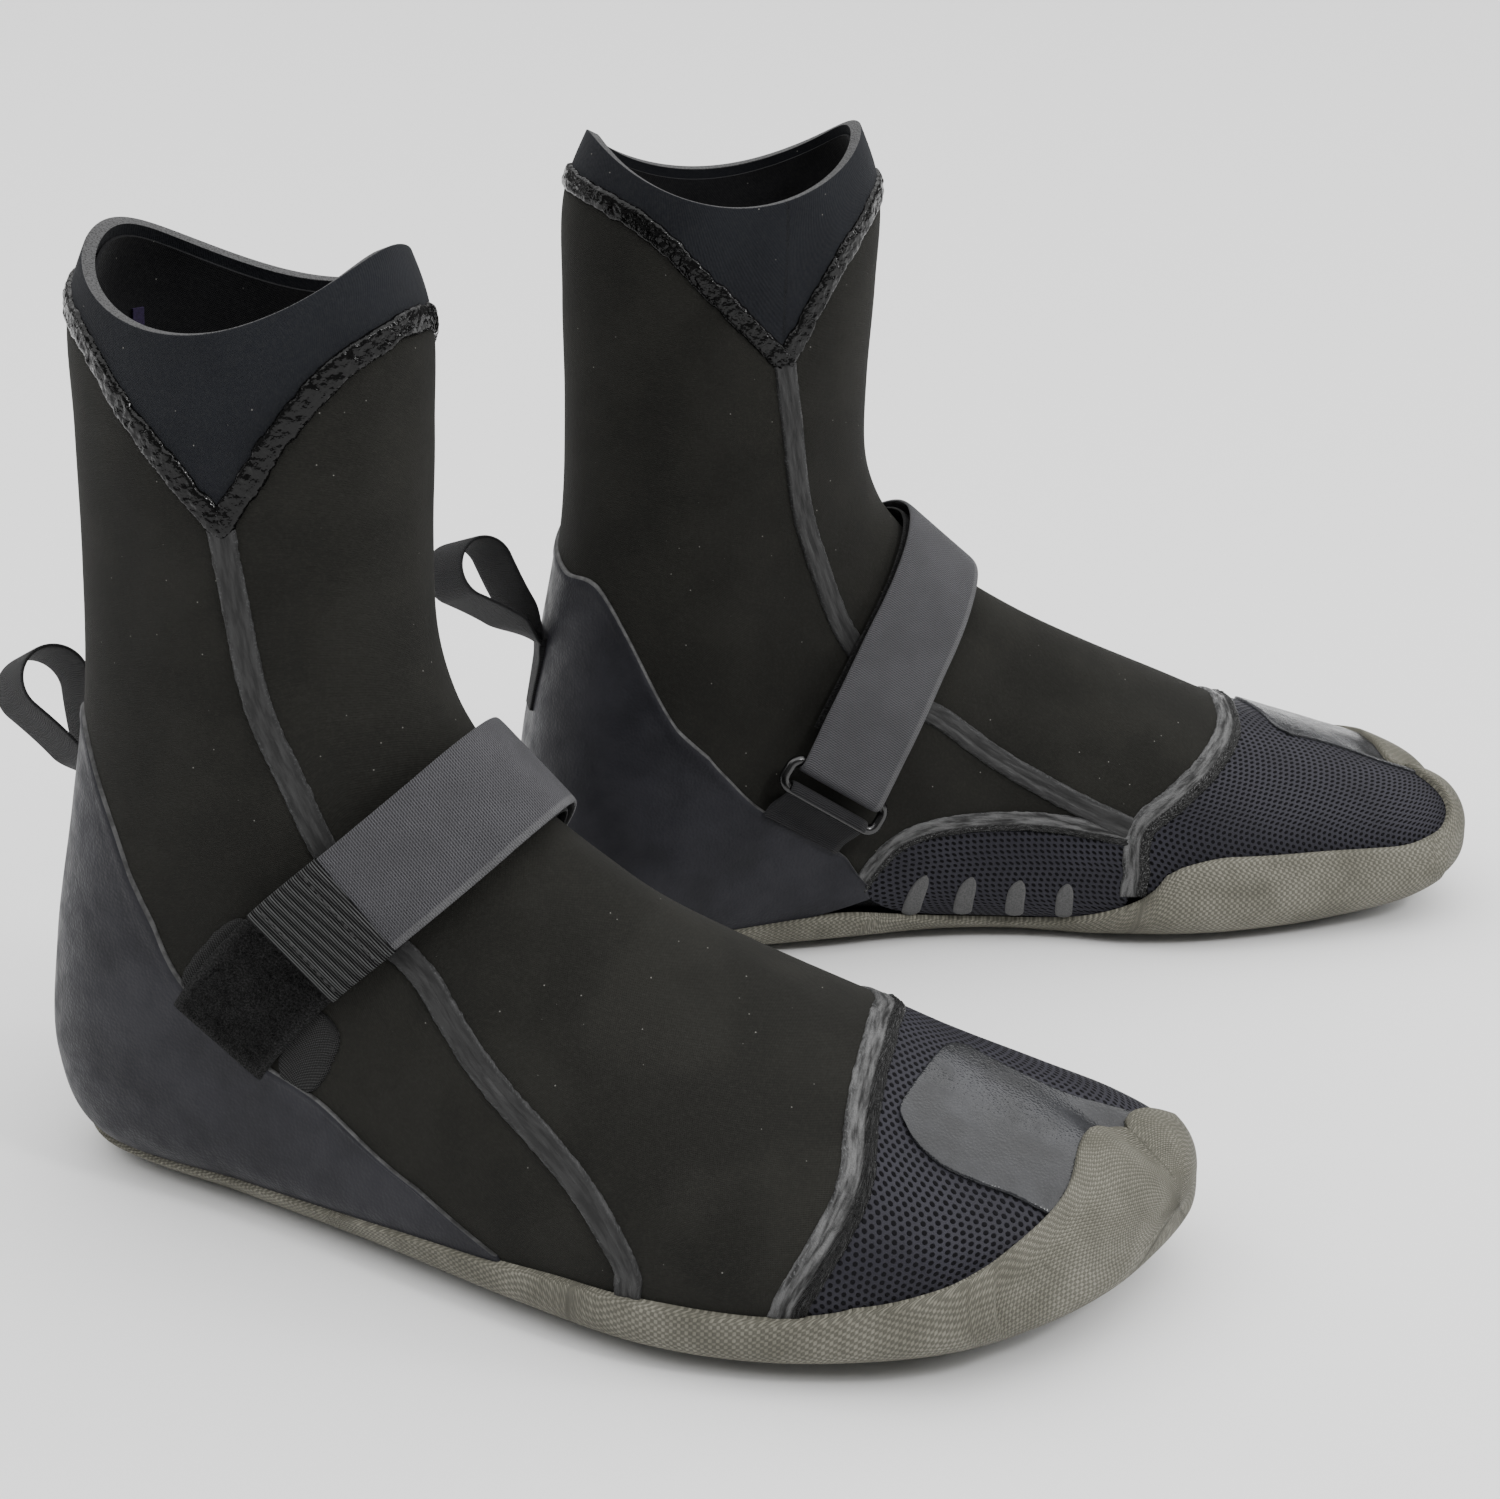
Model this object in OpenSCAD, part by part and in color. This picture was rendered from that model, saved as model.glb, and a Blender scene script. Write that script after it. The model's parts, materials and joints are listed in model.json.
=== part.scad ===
// A pair of split-toe neoprene boots, each with an instep strap, standing on their soles.
// A boot is lofted from one row of foot sections. Along it, s runs from the collar (0) over the
// ankle (4) and heel (8) to the toes (18). Around it, the angle a is 0 on the shin and instep
// ridge, 90 on the outer side, 180 on the heel and under the foot, and -90 on the inner side.
// Every panel, tape and strap is a patch of that skin, given by seam lines in [s, a].

/* [Boot] */
// Length of a boot from the heel to the big toe
boot_length = 296; // [270:1:320]
// Height of the collar above the floor
boot_height = 246; // [220:1:290]
// Width of the forefoot
foot_width = 114; // [100:1:125]
// Depth of the groove between the big toe and the others
cleft_depth = 8; // [0:0.5:10]

/* [Layers] */
// Neoprene thickness of the panels
neoprene = 3; // [2:0.25:3.5]
// Thickness of the fleece lining
lining_thick = 1; // [0.6:0.1:1.2]
// Rubber thickness under the foot
sole_rubber = 3.4; // [2:0.1:4]
// Rubber thickness of the heel counter and the toe overlay
skin_rubber = 0.9; // [0.6:0.1:1.4]
// Thickness of the insole
insole_thick = 3; // [2:0.5:4]

/* [Seams] */
// Width of the glued seam tapes
tape_width = 7; // [5:0.5:9]
// Thickness of the tapes and printed marks
tape_thick = 0.8; // [0.5:0.1:1.2]

/* [Strap] */
// Width of the instep strap
strap_width = 29; // [22:1:32]
// Thickness of one strap layer
strap_thick = 1.5; // [1:0.1:2]
// Wire thickness of the strap ring
ring_wire = 3.2; // [2.4:0.2:3.6]

/* [Pull loop] */
// Width of the pull loop's webbing
loop_width = 21; // [16:1:25]
// Thickness of the pull loop's webbing
loop_thick = 1.4; // [1:0.1:2]
// Distance from the heel to the middle of the loop's round end
loop_reach = 30; // [24:1:36]

/* [Pair] */
// Turn of the right boot about the vertical
right_turn = -24; // [-30:1:-10]
// Turn of the left boot about the vertical
left_turn = 12; // [0:1:20]
// Distance between the two boots, across the pair
pair_gap = 193; // [185:1:230]
// How far the left boot stands ahead of the right one
pair_lead = 116; // [90:1:140]

/* [Hidden] */
$fn = 48;

// ---- the last: one row per foot section ----
// [front x, front z, back x, back z, outer half width, inner half width, ridge offset,
//  place of the widest point, front roundness, back roundness, forward slant of the inner side]
LAST = [
  [ 99, 254,  24, 254, 28, 28,  0, 0.50, 2.0, 2.0, 0.00],
  [107, 230,  14, 230, 34, 34,  0, 0.50, 2.0, 2.0, 0.00],
  [106, 202,  13, 200, 35, 35,  0, 0.50, 2.0, 2.0, 0.00],
  [104, 174,  13, 167, 36, 36,  0, 0.50, 2.0, 2.1, 0.00],
  [104, 151,  11, 131, 37, 37,  0, 0.52, 2.0, 2.2, 0.00],
  [109, 135,   5,  97, 38, 38,  0, 0.55, 2.0, 2.3, 0.00],
  [117, 124,  -2,  60, 41, 40,  1, 0.58, 1.9, 2.5, 0.00],
  [126, 115,  -4,  26, 43, 41,  2, 0.60, 1.9, 2.8, 0.00],
  [136, 107,  11,   5, 44, 42,  3, 0.64, 1.9, 3.2, 0.00],
  [148,  99,  60, 3.5, 46, 40,  4, 0.68, 1.9, 3.6, 0.00],
  [162,  91, 110,   5, 52, 40,  5, 0.72, 1.8, 4.0, 0.04],
  [182,  81, 155,   4, 59, 46,  7, 0.72, 1.8, 4.2, 0.08],
  [204,  71, 190, 3.5, 64, 52,  9, 0.70, 1.8, 4.2, 0.11],
  [226,  61, 218, 3.5, 64, 50, 12, 0.66, 1.9, 4.0, 0.13],
  [247,  53, 243,   5, 60, 46, 15, 0.62, 2.1, 3.6, 0.15],
  [265,  47, 265,   8, 54, 40, 19, 0.58, 2.2, 3.2, 0.16],
  [280,  42, 281,  13, 42, 31, 21, 0.54, 2.2, 2.8, 0.18],
  [289,  36, 289,  18, 24, 18, 22, 0.50, 2.1, 2.4, 0.20],
  [293,  27, 293,  27,  0,  0, 23, 0.50, 2.0, 2.0, 0.20]];
LAST_LENGTH = 297;
LAST_HEIGHT = 246;
LAST_WIDTH = 114;
LAST_TIP = len(LAST) - 1;
ANKLE_Z = 120;
CLEFT_Y = 26;
CLEFT_HALF_WIDTH = 6;
STEP = 0.02;

// ---- distances of the layers from the skin, outwards positive ----
SKIN_GAP = 0.8;
MESH_OUT = -1.5;
LINING_OUT = -neoprene - 1.4;
INSOLE_OUT = LINING_OUT - lining_thick - 0.8;
SOLE_IN = 1.5;
SOLE_RIM_OUT = 2.6;
SKIN_IN = 0.9;
SKIN_OUT = SKIN_IN + skin_rubber;
TAPE_OUT = SKIN_GAP + tape_thick;
LINER_TAPE_OUT = LINING_OUT - lining_thick - 2.6;
BASE_IN = SKIN_OUT + 1.3;
BASE_OUT = BASE_IN + strap_thick;
HOOK_IN = BASE_OUT + 0.35;
HOOK_OUT = HOOK_IN + 0.75;
RUN_IN = HOOK_OUT + 0.3;
RUN_OUT = RUN_IN + strap_thick;
TAIL_IN = SKIN_OUT + 0.4;

// ---- seam lines in [s, a] ----
V_FRONT = [[2.5, -74], [1.65, -52], [1.15, -30], [0.95, 0], [1.15, 30], [1.65, 52], [2.5, 74]];
V_BACK = [[2.5, 74], [1.75, 102], [1.1, 130], [0.8, 180], [1.1, 230], [1.75, 258], [2.5, 286]];
OUTER_SEAM = [[2.5, 74], [4, 63.5], [5.5, 53], [7, 48.5], [8.3, 48.5], [9.2, 54], [10.1, 60],
  [10.9, 66.5], [11.5, 75], [11.9, 87], [12, 104]];
INNER_SEAM = [[2.5, -74], [4, -64], [5.5, -55], [7, -51], [8.5, -51], [9.8, -59], [11.3, -74]];
TOE_SEAM = [[11.4, -96], [11.3, -74], [11.6, -61], [12, -47], [12.45, -28], [12.7, -8],
  [12.95, 10], [13.25, 26], [13.6, 44], [13.65, 66], [13.4, 100]];
ARCH_SEAM = [[9.5, -112], [9.35, -96], [9.4, -84], [9.8, -78], [10.5, -74.5], [11.3, -76]];
REAR_HEM = [[12, 104], [10.6, 114], [9.4, 130], [8.3, 148], [7.8, 180], [8.3, 212], [9.2, 236],
  [9.35, 262], [9.7, 282], [10.5, 285.5], [11.3, 286]];
FRONT_HEM = [[11.3, -74], [11.65, -59], [12.1, -41], [12.5, -20], [12.85, 4], [13.25, 26],
  [13.6, 48], [13.65, 70], [13.3, 98], [12, 104]];
COUNTER_TOP = [[10.8, 97], [9.7, 87], [8.75, 81], [7.9, 79.5], [6.96, 84], [5.67, 96],
  [4.67, 118], [4.12, 142], [4.2, 168], [4.32, 195], [4.45, 221], [5.42, 250], [6.55, 269],
  [7.9, 278], [8.8, 273], [9.4, 264]];
COUNTER_HEM = [[10.8, 97.5], [10, 108.5], [9.2, 121], [8.6, 129.5], [8, 141], [7.66, 154],
  [7.38, 180], [7.66, 206], [8, 218.5], [8.4, 227.5], [8.8, 238], [9.1, 250], [9.35, 260]];
// rim of the outsole on each side, from the heel to the toe top
SOLE_FROM = 7.5;
SOLE_CLOSE = 16.5;
CLOSE_ANGLE = -14;
CAP_REACH = 0.8;
CAP_SIDE = 8;
CAP_SPREAD = 28;
SOLE_OUTER = [[7.5, 174], [7.8, 152], [8.2, 138], [8.8, 129], [9.6, 118], [10.3, 106],
  [11.2, 95], [12.2, 92], [13.4, 92], [14.4, 89], [15.2, 80], [15.7, 62], [16.1, 30],
  [16.5, CLOSE_ANGLE]];
SOLE_INNER = [[7.5, -174], [7.8, -152], [8.2, -138], [8.8, -126], [9.3, -112], [9.7, -118],
  [10.2, -134], [10.8, -136], [11.2, -118], [11.5, -90], [12, -80], [13.4, -79], [14.8, -82],
  [15.7, -76], [16.2, -50], [16.5, CLOSE_ANGLE]];
// the strap's middle line, from its outer anchor over the instep to the ring
STRAP_LINE = [[7.9, 84], [7.6, 72], [7.35, 60], [7.2, 48], [7, 30], [6.85, 12], [6.85, -6],
  [7, -22], [7.4, -40], [7.85, -56], [8.2, -69]];
ANCHOR_LINE = [[8.05, 84], [7.75, 72], [7.5, 62]];
KEEPER_LINE = [[8.3, -74], [8.35, -78], [8.4, -82]];
CREST = 0.55;
GRIP_FROM = 0.19;
GRIP_TO = 0.30;
HOOK_TO = 0.44;
RING_SEAT = [8.23, -70.4];
RING_LIFT = RUN_IN + 0.6;
RING_LONG = strap_width + 5;
RING_SHORT = 9;
// ---- pull loop, in the upright plane of the heel ----
LOOP_ROOT = [5.05, 180];
LOOP_ROUND = 9;
LOOP_STEPS = 24;
RIGHT_LEAN = 60;
LEFT_LEAN = 50;
// ---- the pair: the point a boot turns about, and the shift that centres the pair ----
PIVOT_X = 130;
PAIR_SHIFT = [-13.6, 8.4];

// ---- small helpers ----
function mix(p, q, t) = p * (1 - t) + q * t;
function unit(v) = v / norm(v);
function smooth(t) = let(c = max(0, min(1, t))) c * c * (3 - 2 * c);
function bend(p0, p1, p2, p3, t) =
  0.5 * (2 * p1 + (p2 - p0) * t + (2 * p0 - 5 * p1 + 4 * p2 - p3) * t * t
    + (3 * p1 - p0 - 3 * p2 + p3) * t * t * t);
// entry i of a list, carried on in a straight line past both ends
function entry(list, i) = let(n = len(list) - 1)
  i < 0 ? 2 * list[0] - list[1] : i > n ? 2 * list[n] - list[n - 1] : list[i];
// smooth curve through a list at the position t, counted in entries
function along(list, t) =
  let(i = max(0, min(floor(t), len(list) - 2)))
  bend(entry(list, i - 1), entry(list, i), entry(list, i + 1), entry(list, i + 2), t - i);
// the same with t from 0 to 1
function line(list, t) = along(list, t * (len(list) - 1));
// angle of a rim list at the section s
function rim_angle(rim, s) =
  let(k = [for (i = [0:len(rim) - 2]) if (s >= rim[i][0] - 0.001) i], i = k[len(k) - 1],
    t = min(1, (s - rim[i][0]) / (rim[i + 1][0] - rim[i][0])))
  mix(rim[i][1], rim[i + 1][1], t);

// the collar's seam, once around from the inner side over the shin
function collar_line(v) = v < 0.4 ? line(V_FRONT, v / 0.4) : line(V_BACK, (v - 0.4) / 0.6);

// ---- the skin ----
function stretch(z) = z < ANKLE_Z ? z
  : ANKLE_Z + (z - ANKLE_Z) * (boot_height - ANKLE_Z) / (LAST_HEIGHT - ANKLE_Z);
function power(x, n) = x < 0.000001 ? 0 : pow(x, 2 / n);
function skin(s, a) =
  let(row = along(LAST, min(s, LAST_TIP)), c = cos(a), d = sin(a),
    round_x = power(abs(c), c > 0 ? row[8] : row[9]),
    round_y = power(abs(d), c > 0 ? row[8] : row[9]),
    g = c > 0 ? row[7] * (1 - round_x) : row[7] + (1 - row[7]) * round_x,
    y = (d > 0 ? -row[4] : row[5]) * round_y,
    groove = exp(-pow((y + row[6] - CLEFT_Y) / CLEFT_HALF_WIDTH, 2)) * smooth((s - 14) / 3.5)
      * (1 - 0.7 * smooth((s - 15.8) / 1.8))
      * max(0, min(1, (c + 0.3) / 1.3)))
  [(mix(row[0], row[2], g) + row[10] * y) * boot_length / LAST_LENGTH,
    (y + row[6]) * foot_width / LAST_WIDTH,
    stretch(mix(row[1], row[3], g)) - cleft_depth * groove];
function outward(s, a) = s > LAST_TIP - 0.2 ? unit([1, 0.1, -0.1])
  : unit(cross(skin(s, a + 1) - skin(s, a - 1), skin(s + STEP, a) - skin(max(0, s - STEP), a)));
function off_skin(p, lift) = skin(p[0], p[1]) + lift * outward(p[0], p[1]);

// ---- solids made from patches of the skin ----
// rows and cols count the quads; from the row ring_from on the first and last columns join, and
// a tip draws the last row together to one point
function corner(layer, i, j, rows, cols, ring_from, tip) =
  (layer * (rows + 1) + i) * (cols + 1)
    + ((j == cols && i >= ring_from) || (tip && i == rows) ? 0 : j);
module patch_solid(path, rows, cols, low, high, ring_from = 1000, tip = false) {
  function lift(h, u, v) = is_function(h) ? h(u, v) : h;
  function at(k, i, j) = corner(k, i, j, rows, cols, ring_from, tip);
  points = [for (k = [low, high], i = [0:rows], j = [0:cols])
    let(u = i / rows, v = j / cols) off_skin(path(u, v), lift(k, u, v))];
  faces = [
    for (i = [0:rows - 1], j = [0:cols - 1]) each [
      [at(1, i, j), at(1, i + 1, j + 1), at(1, i, j + 1)],
      [at(0, i, j), at(0, i, j + 1), at(0, i + 1, j + 1)]],
    for (i = [0:rows - 1], j = [0:cols - 1]) if (!(tip && i == rows - 1)) each [
      [at(1, i, j), at(1, i + 1, j), at(1, i + 1, j + 1)],
      [at(0, i, j), at(0, i + 1, j + 1), at(0, i + 1, j)]],
    for (j = [0:cols - 1]) each [
      [at(0, 0, j), at(1, 0, j), at(1, 0, j + 1)],
      [at(0, 0, j), at(1, 0, j + 1), at(0, 0, j + 1)]],
    for (j = [0:cols - 1]) if (!tip) each [
      [at(0, rows, j), at(1, rows, j + 1), at(1, rows, j)],
      [at(0, rows, j), at(0, rows, j + 1), at(1, rows, j + 1)]],
    for (i = [0:rows - 1]) if (i < ring_from) each [
      [at(0, i, 0), at(1, i + 1, 0), at(1, i, 0)],
      [at(0, i, 0), at(0, i + 1, 0), at(1, i + 1, 0)],
      [at(0, i, cols), at(1, i, cols), at(1, i + 1, cols)],
      [at(0, i, cols), at(1, i + 1, cols), at(0, i + 1, cols)]]];
  polyhedron(points, faces);
}
// patch between four seam lines; the margins leave the gap to the neighbouring panels
function panel_path(top, hem, left, right, margin_s, margin_a) = function(u, v)
  let(p = mix(margin_s, 1 - margin_s, u), q = mix(margin_a, 1 - margin_a, v))
  (1 - p) * line(top, q) + p * line(hem, q) + (1 - q) * line(left, p) + q * line(right, p)
    - (1 - p) * (1 - q) * top[0] - (1 - p) * q * top[len(top) - 1]
    - p * (1 - q) * hem[0] - p * q * hem[len(hem) - 1];
// flat band of one width laid along a line on the skin
module band(route, from, to, steps, width, low, high) {
  function rise(h, t) = is_function(h) ? h(t) : h;
  function middle(t) = line(route, t);
  function heading(t) = unit(skin(middle(t + 0.01)[0], middle(t + 0.01)[1])
    - skin(middle(t - 0.01)[0], middle(t - 0.01)[1]));
  function up(t) = outward(middle(t)[0], middle(t)[1]);
  function across(t) = unit(cross(up(t), heading(t)));
  points = [for (i = [0:steps]) let(t = mix(from, to, i / steps), c = skin(middle(t)[0],
      middle(t)[1]), w = across(t) * width / 2, n = up(t)) each [
    c - w + n * rise(low, t), c + w + n * rise(low, t), c + w + n * rise(high, t),
    c - w + n * rise(high, t)]];
  faces = [
    [0, 1, 3], [1, 2, 3],
    for (i = [0:steps - 1], j = [0:3]) let(k = (j + 1) % 4, b = 4 * i) each [
      [b + k + 4, b + k, b + j], [b + j + 4, b + k + 4, b + j]],
    [4 * steps + 3, 4 * steps + 1, 4 * steps], [4 * steps + 3, 4 * steps + 2, 4 * steps + 1]];
  polyhedron(points, faces);
}

// how far the sole's cap comes back over the cleft between the toes, in foot sections
function cap_reach(s, a) = CAP_REACH * exp(-pow(((a > 180 ? a - 360 : a) + CAP_SIDE) / CAP_SPREAD, 2))
  * smooth(s - 15) * (1 - smooth((s - 16.4) / 1.4));

// ---- sub-parts of one boot, drawn as the right one ----
// moulded rubber sole, cut flat where it stands, drawn up over the toes and cut back at the arch
module outsole() {
  path = function(u, v) let(s = mix(SOLE_FROM, LAST_TIP, u), k = min(s, SOLE_CLOSE),
      a = mix(rim_angle(SOLE_OUTER, k), 360 + rim_angle(SOLE_INNER, k), v))
    [s - cap_reach(s, a), a];
  full = sole_rubber + 1.2;
  thickness = function(u, v) let(s = mix(SOLE_FROM, LAST_TIP, u), k = min(s, SOLE_CLOSE),
      a = path(u, v)[1], rim = min(a - rim_angle(SOLE_OUTER, k),
        360 + rim_angle(SOLE_INNER, k) - a),
      under = s > 15.5 ? smooth((abs(a - 180) < 90 ? 90 - abs(a - 180) : 0) / 50) : 1)
    mix(SOLE_RIM_OUT, full, min(under, smooth(rim / 24)));
  rows = 21;
  color("#6b6860") difference() {
    patch_solid(path, rows, 18, SOLE_IN, thickness, rows - 3, true);
    translate([-50, -150, -20]) cube([400, 300, 20]);
  }
}
// smooth rubber skin around the heel, from one side of the foot to the other
module heel_counter() color("#35353a")
  patch_solid(function(u, v) mix(line(COUNTER_TOP, v), line(COUNTER_HEM, v), mix(0.02, 0.98, u)),
    6, 30, SKIN_IN, SKIN_OUT);
// shin and instep neoprene, between the two seam tapes
module front_panel() color("#2c2a28")
  patch_solid(panel_path(V_FRONT, FRONT_HEM, INNER_SEAM, OUTER_SEAM, 0.004, 0.006),
    18, 11, -neoprene, 0);
// neoprene around the heel and both sides
module rear_panel() {
  inner = [for (p = INNER_SEAM) [p[0], p[1] + 360]];
  color("#262523") patch_solid(panel_path(V_BACK, REAR_HEM, OUTER_SEAM, inner, 0.005, 0.004),
    13, 20, -neoprene, 0);
}
// thin collar that grips the ankle, lower at both sides
module collar() color("#212329")
  patch_solid(function(u, v) let(p = collar_line(v), rim = 0.25 + 0.72 * pow(sin(p[1]), 2))
    [mix(rim, p[0] - 0.03, u), p[1]], 5, 36, -neoprene, 0, 0);
// mesh-faced neoprene over the toes
module toe_box() {
  left = [[11.4, -96], [13, -93], [14.6, -95], [16, -98], [17, -102]];
  right = [[13.4, 100], [14.4, 100], [15.4, 97], [16.2, 98], [17, 102]];
  tip = [[17, -102], [17, -50], [17, 0], [17, 50], [17, 102]];
  color("#2b2a30") patch_solid(panel_path(TOE_SEAM, tip, left, right, 0.01, 0.006),
    10, 18, -neoprene, MESH_OUT);
}
// mesh-faced neoprene at the inner arch
module arch_panel() {
  rear = [[10.1, -128], [9.75, -116], [9.4, -98]];
  front = [[11.15, -129], [11.25, -108], [11.3, -78]];
  low = [[10.1, -128], [10.6, -129.5], [11.15, -129]];
  high = [[9.4, -98], [9.45, -85], [9.85, -80], [10.5, -77], [11.3, -78]];
  color("#2b2a30") patch_solid(panel_path(rear, front, low, high, 0.01, 0.02),
    6, 6, -neoprene, MESH_OUT);
}
// neoprene under the foot, hidden by the outsole
module bottom_sock() {
  outer = [[7.9, 178], [8.4, 150], [9.4, 132], [10.6, 116], [12, 106], [13.4, 104],
    [15.4, 99], [16.2, 100], [17.2, 104]];
  inner = [[7.9, 182], [8.4, 210], [9.3, 236], [9.9, 229], [11.35, 226], [11.75, 256],
    [13.2, 264], [16, 260], [17.2, 256]];
  color("#1c1c1e") patch_solid(function(u, v) let(m = mix(0.02, 1, u))
    mix(line(outer, m) + [0, 0.8], line(inner, m) - [0, 0.8], v), 16, 7, -neoprene, 0);
}
// rubber patch bridging the toe groove
module toe_overlay() {
  inner = [[13.3, -17], [14, -15], [14.7, -15], [15.25, -20], [15.7, -28]];
  outer = [[13.5, 23], [14.3, 31], [14.8, 34], [15.3, 38], [15.75, 46]];
  color("#6e6f73") patch_solid(function(u, v) mix(line(inner, u), line(outer, u), v)
    - [mix(0.1, 0.3, u) * sin(180 * v), 0], 7, 8, SKIN_IN, SKIN_OUT);
}
// glued bead that closes the collar seam
module collar_seam() {
  seam = function(u, v) collar_line(v) + [mix(-0.11, 0.11, u), 0];
  color("#1e1e20") patch_solid(seam, 1, 60, SKIN_GAP, TAPE_OUT + 0.3, 0);
}
module outer_seam_tape() color("#3b3b3e")
  band(OUTER_SEAM, 0.025, 0.93, 20, tape_width, SKIN_GAP, TAPE_OUT);
module inner_seam_tape() color("#3b3b3e")
  band(INNER_SEAM, 0.04, 0.97, 16, tape_width, SKIN_GAP, TAPE_OUT);
module toe_seam() color("#47474a")
  band(TOE_SEAM, 0.12, 0.95, 22, tape_width - 1, SKIN_GAP, TAPE_OUT);
module arch_seam() color("#3b3b3e")
  band(ARCH_SEAM, 0.22, 0.84, 12, tape_width - 1, SKIN_GAP, TAPE_OUT);
// four printed dashes on the arch panel
module arch_marks() color("#77777a") for (i = [0:3]) let(s = 9.85 + 0.34 * i)
  band([[s, -98], [s, -107], [s, -116]], 0, 1, 3, 4, 0.3, 0.3 + tape_thick);
// fleece sock inside the neoprene
module lining() color("#2a2a30")
  patch_solid(function(u, v) let(a = 360 * v, rim = 0.33 + 0.72 * pow(sin(a), 2))
    [mix(rim, LAST_TIP, pow(u, 0.92)), a], 23, 18,
    LINING_OUT - lining_thick, LINING_OUT, 0, true);
module insole() color("#34343a")
  patch_solid(function(u, v) let(s = mix(8.9, 16, u), open = 34 + 12 * sin(180 * u))
    [s, mix(180 - open, 180 + open, v)], 12, 6, INSOLE_OUT - insole_thick, INSOLE_OUT);
// upright web inside the toe box, between the big toe and the others
module toe_divider() {
  front = 268;
  web_height = 17;
  color("#2a2a30") translate([0, CLEFT_Y * foot_width / LAST_WIDTH + 0.8, 18])
    rotate([90, 0, 0]) linear_extrude(height = 1.6)
      polygon([[front - 24, 0], [front, 0], [front, web_height * 0.6],
        [front - 5, web_height * 0.9], [front - 14, web_height], [front - 21, web_height * 0.7]]);
}
// coloured tape along the lining's back seam
module liner_tape() color("#4a3566")
  band([[0.55, 200], [1.6, 200], [3, 198], [4.4, 196]], 0, 1, 10, 9,
    LINER_TAPE_OUT - tape_thick, LINER_TAPE_OUT);
// loop-pile strap from the outer anchor over the instep to the ring
module strap_base() color("#181818")
  band(STRAP_LINE, 0, 0.985, 26, strap_width, BASE_IN, BASE_OUT);
// two stitched wings that hold the strap's outer end
module strap_anchor_patch() color("#222224") for (side = [-1, 1])
  band([for (p = ANCHOR_LINE) p + [side * 0.96, side < 0 ? 1 : 3]], side < 0 ? 0.05 : 0.28, 0.85, 5, 8,
    SKIN_GAP, SKIN_GAP + 0.9);
// webbing that holds the ring, sewn in at the heel counter's edge
module keeper_tab() color("#2e2e31")
  band(KEEPER_LINE, 0, 1, 4, strap_width - 1, SKIN_GAP, SKIN_GAP + 1.3);
// turns the drawing's x, y, z to the strap's width, its run and outwards at a point of the skin
module on_strap(p, lift) {
  n = outward(p[0], p[1]);
  ahead = unit(skin(8.35, -78) - skin(8.2, -69));
  w = unit(cross(n, ahead));
  t = cross(n, w);
  translate(skin(p[0], p[1]) + n * lift)
    rotate([atan2(t[2], n[2]), atan2(-w[2], norm([t[2], n[2]])), atan2(w[1], w[0])]) children();
}
// ring of round wire that the strap turns back through
module strap_ring() {
  $fn = 24;
  r = ring_wire / 2;
  bend_r = 2.4;
  color("#101012") on_strap(RING_SEAT, RING_LIFT) for (m = [0, 1]) mirror([m, 0, 0]) {
    for (y = [-RING_SHORT, 0]) translate([0, y, 0]) rotate([0, 90, 0])
      cylinder(r = r, h = RING_LONG / 2 - bend_r);
    translate([RING_LONG / 2, bend_r - RING_SHORT, 0]) rotate([-90, 0, 0])
      cylinder(r = r, h = RING_SHORT - 2 * bend_r);
    translate([RING_LONG / 2 - bend_r, -bend_r, 0])
      rotate_extrude(angle = 90) translate([bend_r, 0]) circle(r = r);
    translate([RING_LONG / 2 - bend_r, bend_r - RING_SHORT, 0]) rotate([0, 0, -90])
      rotate_extrude(angle = 90) translate([bend_r, 0]) circle(r = r);
  }
}
// woven strap from the ring back to the crest of the instep
module strap_run() color("#4a4a4d")
  band(STRAP_LINE, CREST + 0.004, 0.975, 12, strap_width, RUN_IN, RUN_OUT);
// the part of the woven strap that peels off
module strap_end() color("#4a4a4d")
  band(STRAP_LINE, GRIP_TO + 0.003, CREST - 0.004, 7, strap_width, RUN_IN, RUN_OUT);
// ribbed tab at the strap's end
module grip_tab() color("#343536")
  band(STRAP_LINE, GRIP_FROM, GRIP_TO, 4, strap_width + 1, RUN_IN, RUN_OUT + 0.5);
// hook tape under the strap's end
module hook_patch() color("#151515")
  band(STRAP_LINE, GRIP_FROM + 0.01, HOOK_TO, 7, strap_width - 4, HOOK_IN, HOOK_OUT);
// outline of a drop with its point at the origin: a circle r at distance d, and its tangents
function drop(r, d) = let(b = acos(r / d))
  [[0, 0], for (i = [0:LOOP_STEPS]) let(g = 180 - b - i * (360 - 2 * b) / LOOP_STEPS)
    [d + r * cos(g), r * sin(g)]];
module pull_loop(lean) {
  half = loop_thick / 2;
  inner_from = loop_reach * (1 - (LOOP_ROUND - half) / (LOOP_ROUND + half));
  color("#2b2b2e") translate(off_skin(LOOP_ROOT, SKIN_OUT + 1))
    rotate([90, 0, 180]) rotate([0, 0, lean])
      translate([0, 0, -loop_width / 2]) linear_extrude(height = loop_width) difference() {
        polygon(drop(LOOP_ROUND + half, loop_reach));
        translate([inner_from, 0]) polygon(drop(LOOP_ROUND - half, loop_reach - inner_from));
      }
}
// the loop's end, sewn down over the heel counter
module loop_tail() color("#1e1e20")
  band([[5.2, 180], [5.45, 180], [5.75, 180]], 0, 1, 3, loop_width, TAIL_IN, TAIL_IN + 1.2);

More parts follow.
